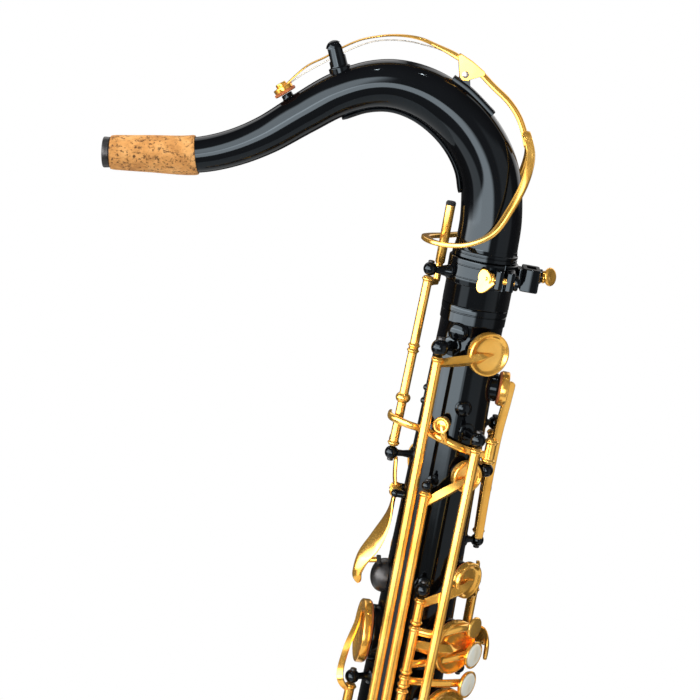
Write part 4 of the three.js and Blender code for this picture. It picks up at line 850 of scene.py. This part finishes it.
def build_receiver():
    bore = TENON_RADIUS + GAP
    profile = ([(bore, BODY_TOP + GAP), (15.8, BODY_TOP + GAP), (16.0, -22.4), (16.0, -12.7), (16.2, -12.4),
                (16.5, -12.2), (16.6, -11.8), (16.6, -9.4), (16.35, -9.2), (16.35, -8.9), (16.6, -8.7),
                (16.6, -3.6), (16.35, -3.4), (16.35, -3.1), (16.6, -2.9)] + arc(16.2, -0.75, 0.4, 0, 85, 4)
               + [(bore + 0.3, -GAP), (bore, -0.6)])
    wall = turned(profile, ORIGIN, UP, 112, closed=True)
    slit = box_shell(vec(10, -15, -6.5), (1.4, 8, 13.2), 0.2)
    wall = carve([wall], [slit])
    lugs = [box_shell(vec(7.35, -19.8, -5.8), (3.9, 9.8, 9), 1.0),
            box_shell(vec(12.65, -18, -5.8), (3.9, 13.4, 9), 1.0)]
    boss = turned([(3.4, 0), (3.6, 0.3), (3.6, 1.5), (3.2, 1.9), (1.8, 1.9), (1.8, 0)],
                  vec(14.6, CLAMP_SCREW[1] + 1, -5.9), X_AXIS, 32, closed=True)
    place = ball_place(RODS["octave"], RODS["octave"][0], BALLS["octave"])
    foot = wall_foot(place, CLAMP_RADIUS - 0.3)
    stem = turned([(3.6, -1.5), (3.4, 0.4), (2.9, 1.2), (2.2, 4), (1.6, 7.4), (0, 7.4)], foot,
                  unit(place - foot), 32)
    stand_in("neck_receiver", [wall, *lugs, boss, stem, ball(place, BALLS["octave"], 32)])
    piece("octave_top_screw", screw_head(place, BALLS["octave"], UP), "black_metal")

    shaft = bar(vec(1, *CLAMP_SCREW[1:]), vec(16.4, *CLAMP_SCREW[1:]), 1.5, 28)
    collar = turned([(0, 0)] + arc(2.3, 0.6, 0.6, -80, 80, 6) + [(1.8, 1.2)]
                    + arc(2.3, 1.7, 0.5, -60, 80, 6) + [(0, 2.3)], vec(2.7, *CLAMP_SCREW[1:]), X_AXIS, 32)
    heart = [(5.0 * sin(a) ** 3, 5.6 * (0.86 * cos(a) - 0.21 * cos(2 * a) - 0.08 * cos(3 * a)))
             for a in around(56)]
    facing = unit(vec(-0.42, -0.9, 0.06))
    across = unit(np.cross(UP, facing))
    head = plate([(0.4 - y, x * 1.15) for x, y in heart], THUMB_PLATE, across, np.cross(facing, across),
                 1.5, 0.4)
    key("clamp_screw", [shaft, collar, head])

    holder = box_shell(LYRE_BLOCK, (8.6, 15, 11), 1.3)
    socket = box_shell(LYRE_BLOCK, (4.6, 8, 14), 0.5)
    thread = bar(vec(LYRE_BLOCK[0], 0, LYRE_SCREW_Z), vec(32, 0, LYRE_SCREW_Z), 2.3, 28, bevel=0.05)
    bridge = box_shell(vec(17.7, 0, LYRE_BLOCK[2]), (2.4, 11, 9), 0.4)
    boss = turned([(3.3, 0), (3.5, 0.3), (3.5, 1.2), (3.1, 1.5), (0, 1.5)], vec(27, 0, LYRE_SCREW_Z),
                  X_AXIS, 32)
    stand_in("lyre_holder", carve([holder, bridge, boss], [socket, thread]))
    lyre_shaft = bar(vec(25.4, 0, LYRE_SCREW_Z), vec(30.5, 0, LYRE_SCREW_Z), 1.9, 28)
    lyre_neck = turned([(0, 0), (2.6, 0), (3, 0.4), (3, 1.3), (2.5, 1.8), (0, 1.8)],
                       vec(28.6, 0, LYRE_SCREW_Z), X_AXIS, 32)
    lyre_head = turned([(0, -1.0), (3.4, -1.0)] + arc(3.5, 0, 0.95, -75, 75, 7)
                       + [(3.0, 0.95), (1.6, 0.6), (0, 0.55)], vec(32.4, 0, LYRE_SCREW_Z + 0.6),
                       unit(vec(0.75, -0.62, 0.2)), 44)
    key("lyre_screw", [lyre_shaft, lyre_neck, lyre_head])


# ---- Body, bow and bell --------------------------------------------------------------

VENT_DEGREES, VENT_Z = -106, -79
VENT = hole(on_body(VENT_DEGREES, VENT_Z, RIM_RISE), polar(1, VENT_DEGREES, 0), 2.6)
PIVOT = polar(24, -36, -98.5)
PIVOT_BALL = 3.4
BRACE_Z = -448
BELL_RIM_RADIUS = 77.6
BELL_KEYS = ("low_b", "low_b_flat", "low_c_sharp")
ROCKER = (polar(24, -36, -83), polar(24, -36, -95))
THUMB_HINGE = vec(-20.9, 0, -120)

# Small turned studs on the tube: angle, height, radius and length.
STUDS = ((-114, -35, 4.6, 3.4), (-79, -70.5, 3.6, 3.6), (-150, -65, 2.2, 5), (-150, -71.5, 2.2, 5))


def bore_tool(spot):
    reach = spot["radius"] * 0.7 + 6
    return bar(spot["seat"] - spot["normal"] * reach, spot["seat"] + spot["normal"], spot["radius"] - 1.5,
               48, bevel=0.02)


def build_body():
    low = body_radius(BODY_BOTTOM)
    outline = ([(low - WALL, BODY_BOTTOM), (low, BODY_BOTTOM), (BODY_TOP_RADIUS, TAPER_START),
                (BODY_TOP_RADIUS, -31.4), (15.35, -31.2), (15.35, -30.9), (15.7, -30.7), (15.75, -26.4),
                (15.5, -26.2), (15.5, -25.9), (15.85, -25.7), (15.95, BODY_TOP - 0.3), (15.8, BODY_TOP),
                (BODY_TOP_RADIUS - WALL, BODY_TOP), (BODY_TOP_RADIUS - WALL, TAPER_START)])
    tube = turned(outline, ORIGIN, UP, 112, closed=True)
    on_tube = [HOLES[name] for name in HOLES if name not in ("low_c", *BELL_KEYS)]
    tube = carve([tube], [bore_tool(spot) for spot in on_tube])
    stand_in("body_tube", tube)
    chimneys = [tone_hole(spot) for spot in on_tube]
    vent = turned([(3.6, -1.5), (3.5, 0.4), (2.7, 0.9), (2.6, RIM_RISE + 0.9), (2.3, RIM_RISE + 1.1),
                   (1.2, RIM_RISE + 1.1), (1.2, -1.5)], on_body(VENT_DEGREES, VENT_Z, -1), VENT["normal"],
                  36, closed=True)
    piece("body_tone_holes", chimneys + [vent], "black_lacquer")

    shells, screws = posts_for([name for name in BALLS if name not in BELL_KEYS], body_foot)
    shells += post(PIVOT, PIVOT_BALL, body_foot(PIVOT))
    for side in (-1, 1):
        lug = vec(THUMB_HINGE[0], side * 6.6, THUMB_HINGE[2])
        shells += [bar(vec(-14, side * 6.6, THUMB_HINGE[2]), lug, 1.8, 28), ball(lug, 2.1)]
    for degrees, z, radius, tall in STUDS:
        dome = [(radius * cos(a), 1.6 + (tall - 1.6) * sin(a)) for a in np.radians(range(10, 91, 16))]
        shells.append(turned([(radius + 0.6, 0), (radius + 0.5, 1.2), (radius, 1.6)] + dome,
                             on_body(degrees, z, -1), polar(1, degrees, 0), 36))
    piece("body_posts", shells, "black_lacquer")
    screws.append(screw_head(PIVOT, PIVOT_BALL, UP))
    piece("body_pivot_screws", screws, "black_metal")


def bow_ring(t, radius):
    return upright_ring(bow_centre(180 * t), vec(sin(pi * t), 0, -cos(pi * t)), radius, 96)


def build_bow_and_bell():
    shares = np.linspace(0, 1, 90)
    rings = ([bow_ring(t, bow_tube_radius(t)) for t in shares]
             + [bow_ring(t, bow_tube_radius(t) - WALL) for t in shares[::-1]])
    points, faces = carve([loft(rings, closed=True)], [bore_tool(HOLES["low_c"])])
    stand_in("bow", [(points - UP * GAP, faces), tone_hole(HOLES["low_c"])])

    heights = np.concatenate([np.linspace(-620, -420, 40), np.linspace(-417, BELL_RIM_Z, 50)])
    flare = lambda z: float(np.mean([bell_radius(min(BELL_RIM_Z, z + d)) for d in (-9, -5, 0, 5, 9)]))
    outer = [(flare(z), z) for z in heights]
    inner = [(r - WALL, z) for r, z in outer][::-1]
    bell_spots = [HOLES[n] for n in ("low_c_sharp", "low_b", "low_b_flat")]
    bell = carve([turned(outer + inner, vec(BELL_X, 0, 0), UP, 128, closed=True)],
                 [bore_tool(s) for s in bell_spots])
    roll = turned([(BELL_RIM_RADIUS + 1.9 * cos(a), BELL_RIM_Z + 1.9 * sin(a)) for a in around(22)],
                  vec(BELL_X, 0, 0), UP, 128, closed=True)
    stand_in("bell", [bell, roll] + [tone_hole(s) for s in bell_spots])
    shells, screws = posts_for(BELL_KEYS, bell_foot)
    piece("bell_posts", shells, "black_lacquer")
    piece("bell_pivot_screws", screws, "black_metal")

    for name, x, radius in (("body_to_bow_ring", 0, body_radius(BODY_BOTTOM) + 0.3),
                            ("bell_to_bow_ring", BELL_X, BOW_END_RADIUS + 0.3)):
        profile = ([(radius, -2.6), (radius + 1.8, -2.6), (radius + 2.1, -2.3), (radius + 2.1, -1.2)]
                   + arc(radius + 1.9, 0, 1.1, -75, 75, 7)
                   + [(radius + 2.1, 1.2), (radius + 2.1, 2.3), (radius + 1.8, 2.6), (radius, 2.6)])
        ring = turned(profile, vec(x, 0, BODY_BOTTOM), UP, 112, closed=True)
        lug = box_shell(vec(x, -radius - 3.0, BODY_BOTTOM), (7, 4.6, 5), 0.8)
        stand_in(name, [ring, lug])

    z = BRACE_Z
    body_side = body_radius(z) + GAP
    bell_side = BELL_X - bell_radius(z) - GAP
    middle = (body_side + bell_side) / 2
    torus = turned(circle(2.2, 20, 9), vec(middle, 0, z), RIGHT, 72, closed=True)
    brace = [torus, bar(vec(body_side + 0.3, 0, z), vec(middle - 8, 0, z), 2.6, 32),
             bar(vec(middle + 8, 0, z), vec(bell_side - 0.3, 0, z), 2.6, 32)]
    for x, sign in ((body_side, 1), (bell_side, -1)):
        brace.append(box_shell(vec(x + sign * 1.5, 0, z), (2.6, 13, 16), 1.0))
        brace += [ball(vec(x + sign * 2.9, y, z + dz), 1.3, 20) for y, dz in ((-4.2, -5.4), (4.2, 5.4))]
    stand_in("bell_brace", brace)


# ---- Guards --------------------------------------------------------------------------

GUARD_CLEARANCE = 11


def build_guard(name, spots, direction, spread, foot_depth):
    """A guard over key cups: a strap with feet beyond them, and a felt over each."""
    height = CUP_HEIGHT + GUARD_CLEARANCE
    first, last = spots[0], spots[-1]
    over = lambda spot, shift, lift: spot["seat"] + direction * shift + spot["normal"] * lift
    points = ([over(first, first["radius"] + spread, -foot_depth + 1.5),
               over(first, first["radius"] + spread, height * 0.45),
               over(first, first["radius"] + spread * 0.4, height)]
              + [over(s, 0, height + 0.8) for s in spots]
              + [over(last, -last["radius"] - spread * 0.4, height),
                 over(last, -last["radius"] - spread, height * 0.45),
                 over(last, -last["radius"] - spread, -foot_depth + 1.5)])
    middle = (first["seat"] + last["seat"]) / 2
    facing = lambda p: first["normal"] + direction * np.sign((p - middle).dot(direction)) * 1.2
    spine = sweep(points, crowned(5.4, 2.6), facing, 120)
    shells, felts = [spine], []
    for spot in spots:
        place = over(spot, 0, height)
        shells.append(turned([(0, -1.6), (6.2, -1.6), (6.6, -1.2), (6.6, 0.9), (6.0, 1.4), (3.4, 1.6),
                              (3.2, 2.6), (0, 2.8)], place, spot["normal"], 44))
        felts.append(turned([(0, -4.6), (3.4, -4.6), (3.9, -4.0), (3.9, -1.7), (0, -1.7)], place,
                            spot["normal"], 32))
    for shift in (first["radius"] + spread, -last["radius"] - spread):
        spot = first if shift > 0 else last
        shells.append(turned([(4.6, -1.5), (4.8, -1.1), (4.6, 0.6), (2.6, 1.4), (0, 1.6)],
                             over(spot, shift, -foot_depth + 1.8), spot["normal"], 32))
    stand_in(name, shells, "gold_lacquer")
    piece(name + "_felt", felts, "felt")


def build_guards():
    build_guard("bell_key_guard", [HOLES["low_b_flat"], HOLES["low_b"]], UP, 5, RIM_RISE + 1.5)
    build_guard("low_c_sharp_guard", [HOLES["low_c_sharp"]], unit(vec(0.5, 0, 0.87)), 4.5, RIM_RISE + 2)
    build_guard("low_c_guard", [HOLES["low_c"]], unit(vec(0.83, 0, 0.55)), 4.5, RIM_RISE + 8)


# ---- Thumb rest, thumb hook and strap ring -------------------------------------------

THUMB_REST_Z = -164
STRAP_RING_Z = -352
THUMB_HOOK_Z = -432


def build_back_fittings():
    foot = vec(-body_radius(THUMB_REST_Z) + 0.6, 0, THUMB_REST_Z)
    dome = ([(0, -1), (8.4, -1), (8.5, 0.8)] + [(8.4 * cos(a), 1.2 + 6.4 * sin(a))
            for a in np.radians(np.linspace(4, 84, 14))] + [(0, 7.6)])
    stand_in("thumb_rest", turned(dome, foot, vec(-1, 0, 0), 56), "black_metal")

    hook_z = THUMB_HOOK_Z
    wall = body_radius(hook_z + 15) + GAP
    base = plate(round_rect(16, 30, 5, 8), vec(-wall - 1.2, 0, hook_z), LEFT, UP, 2.8, 0.6)
    path = [vec(-wall - 1.6, 0, hook_z + 11), vec(-wall - 12, 0, hook_z + 13), vec(-wall - 24, 0, hook_z + 8),
            vec(-wall - 29, 0, hook_z - 6), vec(-wall - 27, 0, hook_z - 20)]
    hook = sweep(path, crowned(15, 3.2, 13), away_from(-wall - 8, 0, hook_z - 14), 70,
                 lambda t: 1 - 0.2 * sin(pi * t), ends=(0, 6))
    screws = [turned([(0, 0), (3.0, 0), (3.2, 0.4), (3.0, 1.1), (0, 1.4)], vec(-wall - 2.6, 0, hook_z + dz),
                     vec(-1, 0, 0), 28) for dz in (-8, -1)]
    stand_in("thumb_hook", [base, hook] + screws, "gold_lacquer")

    ring_x = -body_radius(STRAP_RING_Z) - 9.5
    torus = turned(circle(2.2, 22, 6.3), vec(ring_x, 0, STRAP_RING_Z), RIGHT, 64, closed=True)
    wall = body_radius(STRAP_RING_Z) + GAP
    base = plate(oval(9.2, 24, 40), vec(-wall - 0.6, 0, STRAP_RING_Z), LEFT, UP, 3.0, 0.7)
    screws = [turned([(0, 0), (1.7, 0), (1.8, 0.3), (1.6, 0.8), (0, 1.0)],
                     vec(-wall - 1.9, 0, STRAP_RING_Z + dz), vec(-1, 0, 0), 24) for dz in (-9.5, 9.5)]
    flat = box_shell(vec(ring_x, 0, STRAP_RING_Z + 9), (9, 3.6, 3), 0.8)
    stand_in("strap_ring", [torus, base, flat] + screws)


# ---- Octave mechanism ----------------------------------------------------------------

def build_octave_keys():
    rod = RODS["octave"]
    tube = sleeve(*rod, 2.2, [50, 47.5]) + [ball(rod_point(rod, -72), 3.6, 28, 0.8)]
    pin = turned([(0, 0), (1.7, 0), (1.7, 8.5), (2.1, 9.0), (2.3, 9.4), (2.3, 37.4)]
                 + arc(1.9, 37.6, 0.4, 0, 80, 4) + [(0, 38.2)], vec(-20.3, 0.4, -15), UP, 36)
    tip = turned([(0, 0), (2.2, 0), (2.4, 0.3), (2.4, 1.5), (1.9, 2.2), (0, 2.4)], vec(-20.3, 0.4, 21.6),
                 UP, 36)
    pin_arm = sweep([rod_point(rod, -15), (-23, -3.6, -15), (-20.3, 0.6, -15)], crowned(4.2, 3), UP, 24,
                    ends=(0, 1))
    low_arm = sweep([rod_point(rod, -93), (-27.4, -4, -93), (-27.6, 1, -96)], crowned(4.4, 2.2), outwards,
                    24, ends=(0, 1.6))
    key("octave_pin_key", tube + [pin, pin_arm, low_arm], extras=(("tip", [tip], "felt"),))

    rocker = sweep([(-30.6, 0, -82.4), (-30, -10, -82), (-22, -16.9, -82.6), (-13.4, -16.4, -84.2),
                    (-4.7, -19.5, -86.2), (5.2, -19.6, -88.8), (12.7, -16.9, -90.6), (19.4, -14.1, -91.4)],
                   crowned(3.8, 1.9), outwards, 90, ends=(1.5, 0))
    cup, pad, _ = pad_cup(VENT, 1.4)
    top = VENT["seat"] + VENT["normal"] * 3.8
    arm = sweep([top, (-4.6, -22.2, -83), (-3, -20.1, -87)], crowned(3.2, 1.8), outwards, 24, ends=(1, 0))
    key("body_octave_key", sleeve(*ROCKER, 2.7) + [rocker, cup, arm], [pad])

    lever = paddle([THUMB_HINGE, (-22, -1, -134), (-26, -2, -147), (-30.6, -3, -156.5), (-32, -3, -164.6),
                    (-30.6, -2, -169.6)], 12, lambda p: vec(-1, min(0, (p[2] + 126) * 0.03), 0.1), 2.2)
    barrel = sleeve(vec(THUMB_HINGE[0], 4.4, THUMB_HINGE[2]), vec(THUMB_HINGE[0], -4.4, THUMB_HINGE[2]), 2.4)
    tail = sweep([THUMB_HINGE, (-22.6, 1, -113), (-23.6, 2, -104)], crowned(5, 2), vec(-1, 0, 0), 30,
                 ends=(0, 2))
    peg = bar(vec(-28.6, -4.4, -156.4), vec(-23.6, -4.4, -155.4), 1.4, 24)
    bumper = turned([(0, 0), (2.1, 0), (2.3, 0.4)] + arc(1.6, 1.6, 0.6, 0, 80, 4) + [(0, 2.3)],
                    vec(-23.8, -4.4, -155.4), unit(vec(1, 0, 0.2)), 32)
    key("thumb_octave_lever", [lever, tail, peg] + barrel, extras=(("bumper", [bumper], "felt"),))


# ---- Palm and side keys --------------------------------------------------------------

def addressed(rod, spot, overhang=2.1, from_z=None, width=ARM_WIDTH, arm=None):
    """The sleeve, arm, cup, pad and resonator that every covered hole has."""
    cup, pad, resonator = pad_cup(spot, overhang)
    arm = cup_arm(rod, spot, from_z, width) if arm is None else arm
    return sleeve(*rod) + [cup, arm], [pad], [resonator]


def build_palm_keys():
    for name, drop in (("palm_e_flat", 12), ("palm_d", 16)):
        rod = RODS[name]
        z = rod[1][2] + 6
        touch = paddle([rod_point(rod, z), polar(31, 109, z - 4), polar(36, 108, z - drop),
                        polar(38, 108, z - drop - 14)], 13, outwards, 2.6)
        gold, pads, _ = addressed(rod, HOLES[name], 1.7)
        key(name + "_key", gold + [touch], pads)

    rod, spot = RODS["palm_f"], HOLES["palm_f"]
    cup, pad, _ = pad_cup(spot, 1.7)
    flat = sweep([(24.4, 1, -57), (23.9, 1.8, -68), (22.9, 2.4, -84), (22.7, 2.4, -110), (23.4, 2.4, -138)],
                 round_rect(4.4, 1.9, 0.35), vec(0.35, -1, 0), 60, ends=(2, 1.5))
    tie = sweep([rod_point(rod, -112), (22.9, 2.6, -112)], round_rect(4.6, 2.6), UP, 8)
    touch = paddle([rod_point(rod, -110), polar(31, 40, -110), polar(36, 62, -111), polar(37, 84, -112)],
                   11, outwards)
    key("palm_f_key", sleeve(*rod) + [cup, flat, tie, touch], [pad])

    front = RODS["front_f"]
    teardrop = paddle([rod_point(front, -190), (33.6, 5, -187), (37.2, -1, -188), (38, -3, -197)], 9,
                      outwards, 2.4)
    finger = sweep([rod_point(front, -170), (28, 6.6, -166), (26, 6, -150)], crowned(4.4, 2),
                   X_AXIS, 50, ends=(0, 2))
    key("front_f_key", sleeve(*front) + [teardrop, finger])


def build_side_keys():
    touches = {
        "high_e": (vec(-14, -40, -303), vec(-20, -48, -304)),
        "high_f_sharp": (vec(-1, -41, -279), vec(1, -50, -280)),
        "side_c": (vec(16, -44, -298), vec(20, -53, -299)),
        "side_b_flat": (vec(-36, -22, -296), vec(-44, -28, -297)),
    }
    arm_from = {"high_e": -50, "high_f_sharp": -118, "side_c": HOLES["side_c"]["seat"][2]}
    for name, (near, far) in touches.items():
        rod, spot = RODS[name], HOLES[name]
        touch = paddle([rod_point(rod, near[2]), near, far], 22, np.cross(UP, far - near), 2.8)
        arm = None
        if name == "side_b_flat":
            arm = sweep([rod_point(rod, -221), (-31.4, -18, -214), (-30.8, -10, -202), (-27.4, -1, -190),
                         (-27, 4, -186)], ridged(4.4, 2.8), outwards, 60, ends=(0, 2))
        gold, pads, _ = addressed(rod, spot, 2.1, arm_from.get(name), 3.2, arm)
        key(name + "_key", gold + [touch], pads)


# ---- Stacks --------------------------------------------------------------------------

def part_of(rod, top_z, bottom_z):
    return rod_point(rod, top_z), rod_point(rod, bottom_z)


def finger_pearl(rod, from_z, centre, normal):
    start = rod_point(rod, from_z)
    middle = centre + (start - centre) * 0.45 + normal * 1.5
    arm = sweep([start, middle, centre - normal * 1.6], crowned(4.2, 2.2), normal, 40, ends=(0, 2))
    dish, stone = pearl_button(centre, normal)
    return [arm, dish], [stone]


def build_upper_stack():
    rod = RODS["upper_stack"]
    out = polar(1, -28, 0)
    for name, top, bottom, cup_from, pearl_at, pearl_z in (
            ("small_c", -164, -177.4, -168, None, None), ("b", -178, -202.4, -188, -198, -191.5),
            ("a", -210, -241.4, -224, -238, -241), ("g", -242, -284, -262, -278, -280)):
        part = part_of(rod, top, bottom)
        gold, pads, resonator = addressed(part, HOLES[name], 1.6, cup_from)
        stones = []
        if pearl_at is not None:
            metal, stones = finger_pearl(rod, pearl_at, vec(28.8, -10.6, pearl_z), out)
            gold += metal
        if name == "b":
            spot = vec(27, -8.6, -178.6)
            link = sweep([rod_point(rod, -180.4), (10, -24.4, -180.6), (21, -17.5, -177.6),
                          spot + out * -0.6], crowned(4.2, 2.2), outwards, 46, ends=(0, 2))
            moon = turned([(0, -0.9), (4.9, -0.9), (5.5, -0.4), (5.6, 0.1)] + arc(4.6, 0.1, 1.0, 10, 85, 6)
                          + [(0, 1.5)], spot, out, 44)
            gold += [link, moon]
        key(name + "_key", gold, pads, resonator, stones)
    part = part_of(rod, -203, -209.4)
    metal, stones = finger_pearl(rod, -206, vec(28.6, -10.6, -207), out)
    key("bis_key", sleeve(*part) + metal, pearls=stones)


def build_lower_stack():
    rod = RODS["lower_stack"]
    normal = polar(1, -78, 0)
    for name, top, bottom, pearl_z in (("f_sharp", -336, -370, None), ("f", -370.6, -414, -415),
                                       ("e", -414.6, -460, -460), ("d", -460.6, -512, -508)):
        part = part_of(rod, top, bottom)
        gold, pads, resonator = addressed(part, HOLES[name])
        stones = []
        if pearl_z is not None:
            metal, stones = finger_pearl(rod, max(pearl_z, bottom + 3), polar(41, -78, pearl_z), normal)
            gold += metal
        key(name + "_key", gold, pads, resonator, stones)


# ---- Little finger keys --------------------------------------------------------------

def build_low_keys():
    rod = RODS["g_sharp"]
    gold, pads, _ = addressed(rod, HOLES["g_sharp"])
    touch = paddle([rod_point(rod, -330), polar(36, 98, -330), polar(42, 112, -330)], 18, polar(1, 105, 0),
                   2.8)
    key("g_sharp_key", gold + [touch], pads)

    for i, name in enumerate(("low_c_sharp", "low_b", "low_b_flat")):
        top = TABLE_TOP - i * TABLE_STEP
        part = rod_on_body(TABLE_DEGREES, 8, top, top - TABLE_STEP + 1)
        middle = top - TABLE_STEP / 2
        touch = paddle([rod_point(part, middle), polar(40, 103, middle), polar(47, 116, middle)], 21,
                       polar(1, 108, 0), 2.8)
        lever = sweep([rod_point(part, middle), polar(40, 72, middle), polar(44, 58, middle - 4)],
                      crowned(5, 2.4), outwards, 30, ends=(0, 2))
        key(name + "_lever", sleeve(*part) + [touch, lever])

    for name in ("low_b", "low_b_flat", "low_c_sharp"):
        rod, spot = RODS[name], HOLES[name]
        side = np.sign(spot["normal"][1])
        z = rod[0][2] - 4
        inner = sweep([rod_point(rod, z), (rod[0][0] - 9, side * 30, z), (rod[0][0] - 14, side * 22, z)],
                      crowned(5, 2.4), UP, 30, ends=(0, 2))
        gold, pads, resonator = addressed(rod, spot, 2.1, spot["seat"][2], 5)
        key(name + "_key", gold + [inner], pads, resonator)

    for name, from_z, touch_z in (("e_flat", -548, -530), ("low_c", -594, -515)):
        rod, spot = RODS[name], HOLES[name]
        base = rod_point(rod, touch_z)
        touch = paddle([base, (base[0] * 1.28, base[1] * 1.28, touch_z),
                        polar(54, -128 if name == "low_c" else -112, touch_z)], 15, np.cross(UP, base), 2.8)
        arm = None
        if name == "low_c":
            arm = sweep([rod_point(rod, -594), (-32, -33, -605), (-16, -43.5, -636), (4, -41, -650),
                         (13, -39.6, -656)], ridged(6, 3), vec(-0.3, -1, 0), 60, ends=(0, 2))
        gold, pads, resonator = addressed(rod, spot, 2.1, from_z, 5, arm)
        key(name + "_key", gold + [touch], pads, resonator)


build_neck()
build_neck_octave_key()
build_receiver()
build_body()
build_bow_and_bell()
build_guards()
build_back_fittings()
build_octave_keys()
build_palm_keys()
build_side_keys()
build_upper_stack()
build_lower_stack()
build_low_keys()


# ---- Studio --------------------------------------------------------------------------

def build_floor():
    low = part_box("bow")[0].z
    bpy.ops.mesh.primitive_circle_add(vertices=96, radius=0.72, fill_type="NGON",
                                      location=(0.05, 0, low - 0.0006))
    floor = bpy.context.object
    floor.name = "floor"
    look = Look("floor")
    tone = look.ramp(look.noise(1.5), [(0.3, (0.86, 0.86, 0.86)), (0.7, (0.90, 0.90, 0.90))])
    look.fill(look.shader, {"Base Color": tone, "Roughness": 0.7})
    floor.data.materials.append(look.material)


# Windows of the studio: azimuth from the front (-Y) towards +X and height of the direction,
# each as from, to and softness, then how bright they are.
WINDOWS = (
    ((-1.55, 0.0, 0.2), (-0.195, 0.1, 0.06), 8.5),
    ((-1.4, -0.3, 0.2), (0.1, 0.5, 0.1), 7.0),
    ((-1.2, -0.75, 0.15), (-0.9, -0.2, 0.05), 1.8),
    ((0.7, 1.3, 0.2), (-0.6, 0.45, 0.15), 0.55),
    ((-3.0, -2.3, 0.2), (0.45, 0.8, 0.1), 1.6),
    ((2.2, 2.9, 0.2), (0.1, 0.75, 0.1), 1.4),
)


def build_world():
    """White to the camera. Reflections see a dim room, lighter in front than behind, with
    windows at the front left, one at the right and two behind. The rest gets soft light."""
    world = bpy.data.worlds.new("studio")
    bpy.context.scene.world = world
    world.use_nodes = True
    world.node_tree.nodes.clear()
    tree = Tree(world.node_tree)
    x, y, z = tree.add("SeparateXYZ", {"Vector": tree.add("TexCoord", {}).outputs["Generated"]}).outputs
    azimuth = tree.arithmetic("ARCTAN2", x, tree.arithmetic("MULTIPLY", y, -1.0))
    ease = lambda *values: tree.remap(*values, easing="SMOOTHSTEP")
    total = ease(y, -0.9, 0.4, 0.32, 0.07)
    for (left, right, soft), (low, high, blur), strength in WINDOWS:
        light = ease(azimuth, left - soft, left)
        for factor in (ease(azimuth, right, right + soft, 1.0, 0.0), ease(z, low - blur, low),
                       ease(z, high, high + blur, 1.0, 0.0), strength):
            light = tree.arithmetic("MULTIPLY", light, factor)
        total = tree.arithmetic("ADD", total, light)
    glow = lambda colour, strength: tree.add("Background", {"Color": colour, "Strength": strength}).outputs[0]
    rays = tree.add("LightPath", {}).outputs
    shader = glow((1, 0.99, 0.97, 1), 0.75)
    for ray, background in (("Is Glossy Ray", glow((1.0, 0.97, 0.95, 1), total)),
                            ("Is Camera Ray", glow((1, 1, 1, 1), 1.0))):
        shader = tree.add("MixShader", {0: rays[ray], 1: shader, 2: background}).outputs[0]
    tree.add("OutputWorld", {"Surface": shader})


COOL, WARM = (0.92, 0.96, 1.0), (1.0, 0.98, 0.95)
LIT = Vector((0.0, 0.0, 0.3))
# Place, size, power, colour and whether reflections show it.
LIGHTS = {
    "left_fill": ((-1.3, -1.2, 0.7), (0.9, 1.6), 16, COOL, False),
    "overhead": ((-0.3, -0.5, 1.9), (1.2, 1.0), 14, WARM, False),
    "ceiling_lamp_left": ((-0.55, -0.4, 1.9), (0.05, 0.05), 0.7, WARM, True),
    "ceiling_lamp_right": ((0.2, -0.2, 1.9), (0.05, 0.05), 0.7, WARM, True),
}


def build_lights():
    for name, (place, size, power, colour, mirrored) in LIGHTS.items():
        data = bpy.data.lights.new(name, "AREA")
        data.shape = "RECTANGLE"
        data.size, data.size_y = size
        data.energy = power
        data.color = colour
        lamp = bpy.data.objects.new(name, data)
        lamp.location = place
        lamp.rotation_euler = (LIT - Vector(place)).to_track_quat("-Z", "Y").to_euler()
        lamp.visible_camera = False
        lamp.visible_glossy = mirrored
        bpy.context.scene.collection.objects.link(lamp)


CAMERA_TILT, CAMERA_ROLL = radians(12), radians(10.3)
CAMERA_DISTANCE = 0.9348
CAMERA_TARGET = vec(-54.91, 0, -55.69)


def build_camera():
    ahead = Vector((0, cos(CAMERA_TILT), -sin(CAMERA_TILT)))
    level = Vector((1, 0, 0))
    raised = Vector((0, sin(CAMERA_TILT), cos(CAMERA_TILT)))
    right = level * cos(CAMERA_ROLL) + raised * sin(CAMERA_ROLL)
    upward = raised * cos(CAMERA_ROLL) - level * sin(CAMERA_ROLL)
    data = bpy.data.cameras.new("camera")
    data.lens = 100.0
    data.sensor_width = 36
    data.clip_end = 20
    camera = bpy.data.objects.new("camera", data)
    place = Vector(CAMERA_TARGET / 1000 + TO_FRAME) - ahead * CAMERA_DISTANCE
    camera.matrix_world = Matrix.Translation(place) @ Matrix((right, upward, -ahead)).transposed().to_4x4()
    bpy.context.scene.collection.objects.link(camera)
    bpy.context.scene.camera = camera


build_floor()
build_world()
build_lights()
build_camera()
bpy.context.scene.view_settings.view_transform = "Standard"
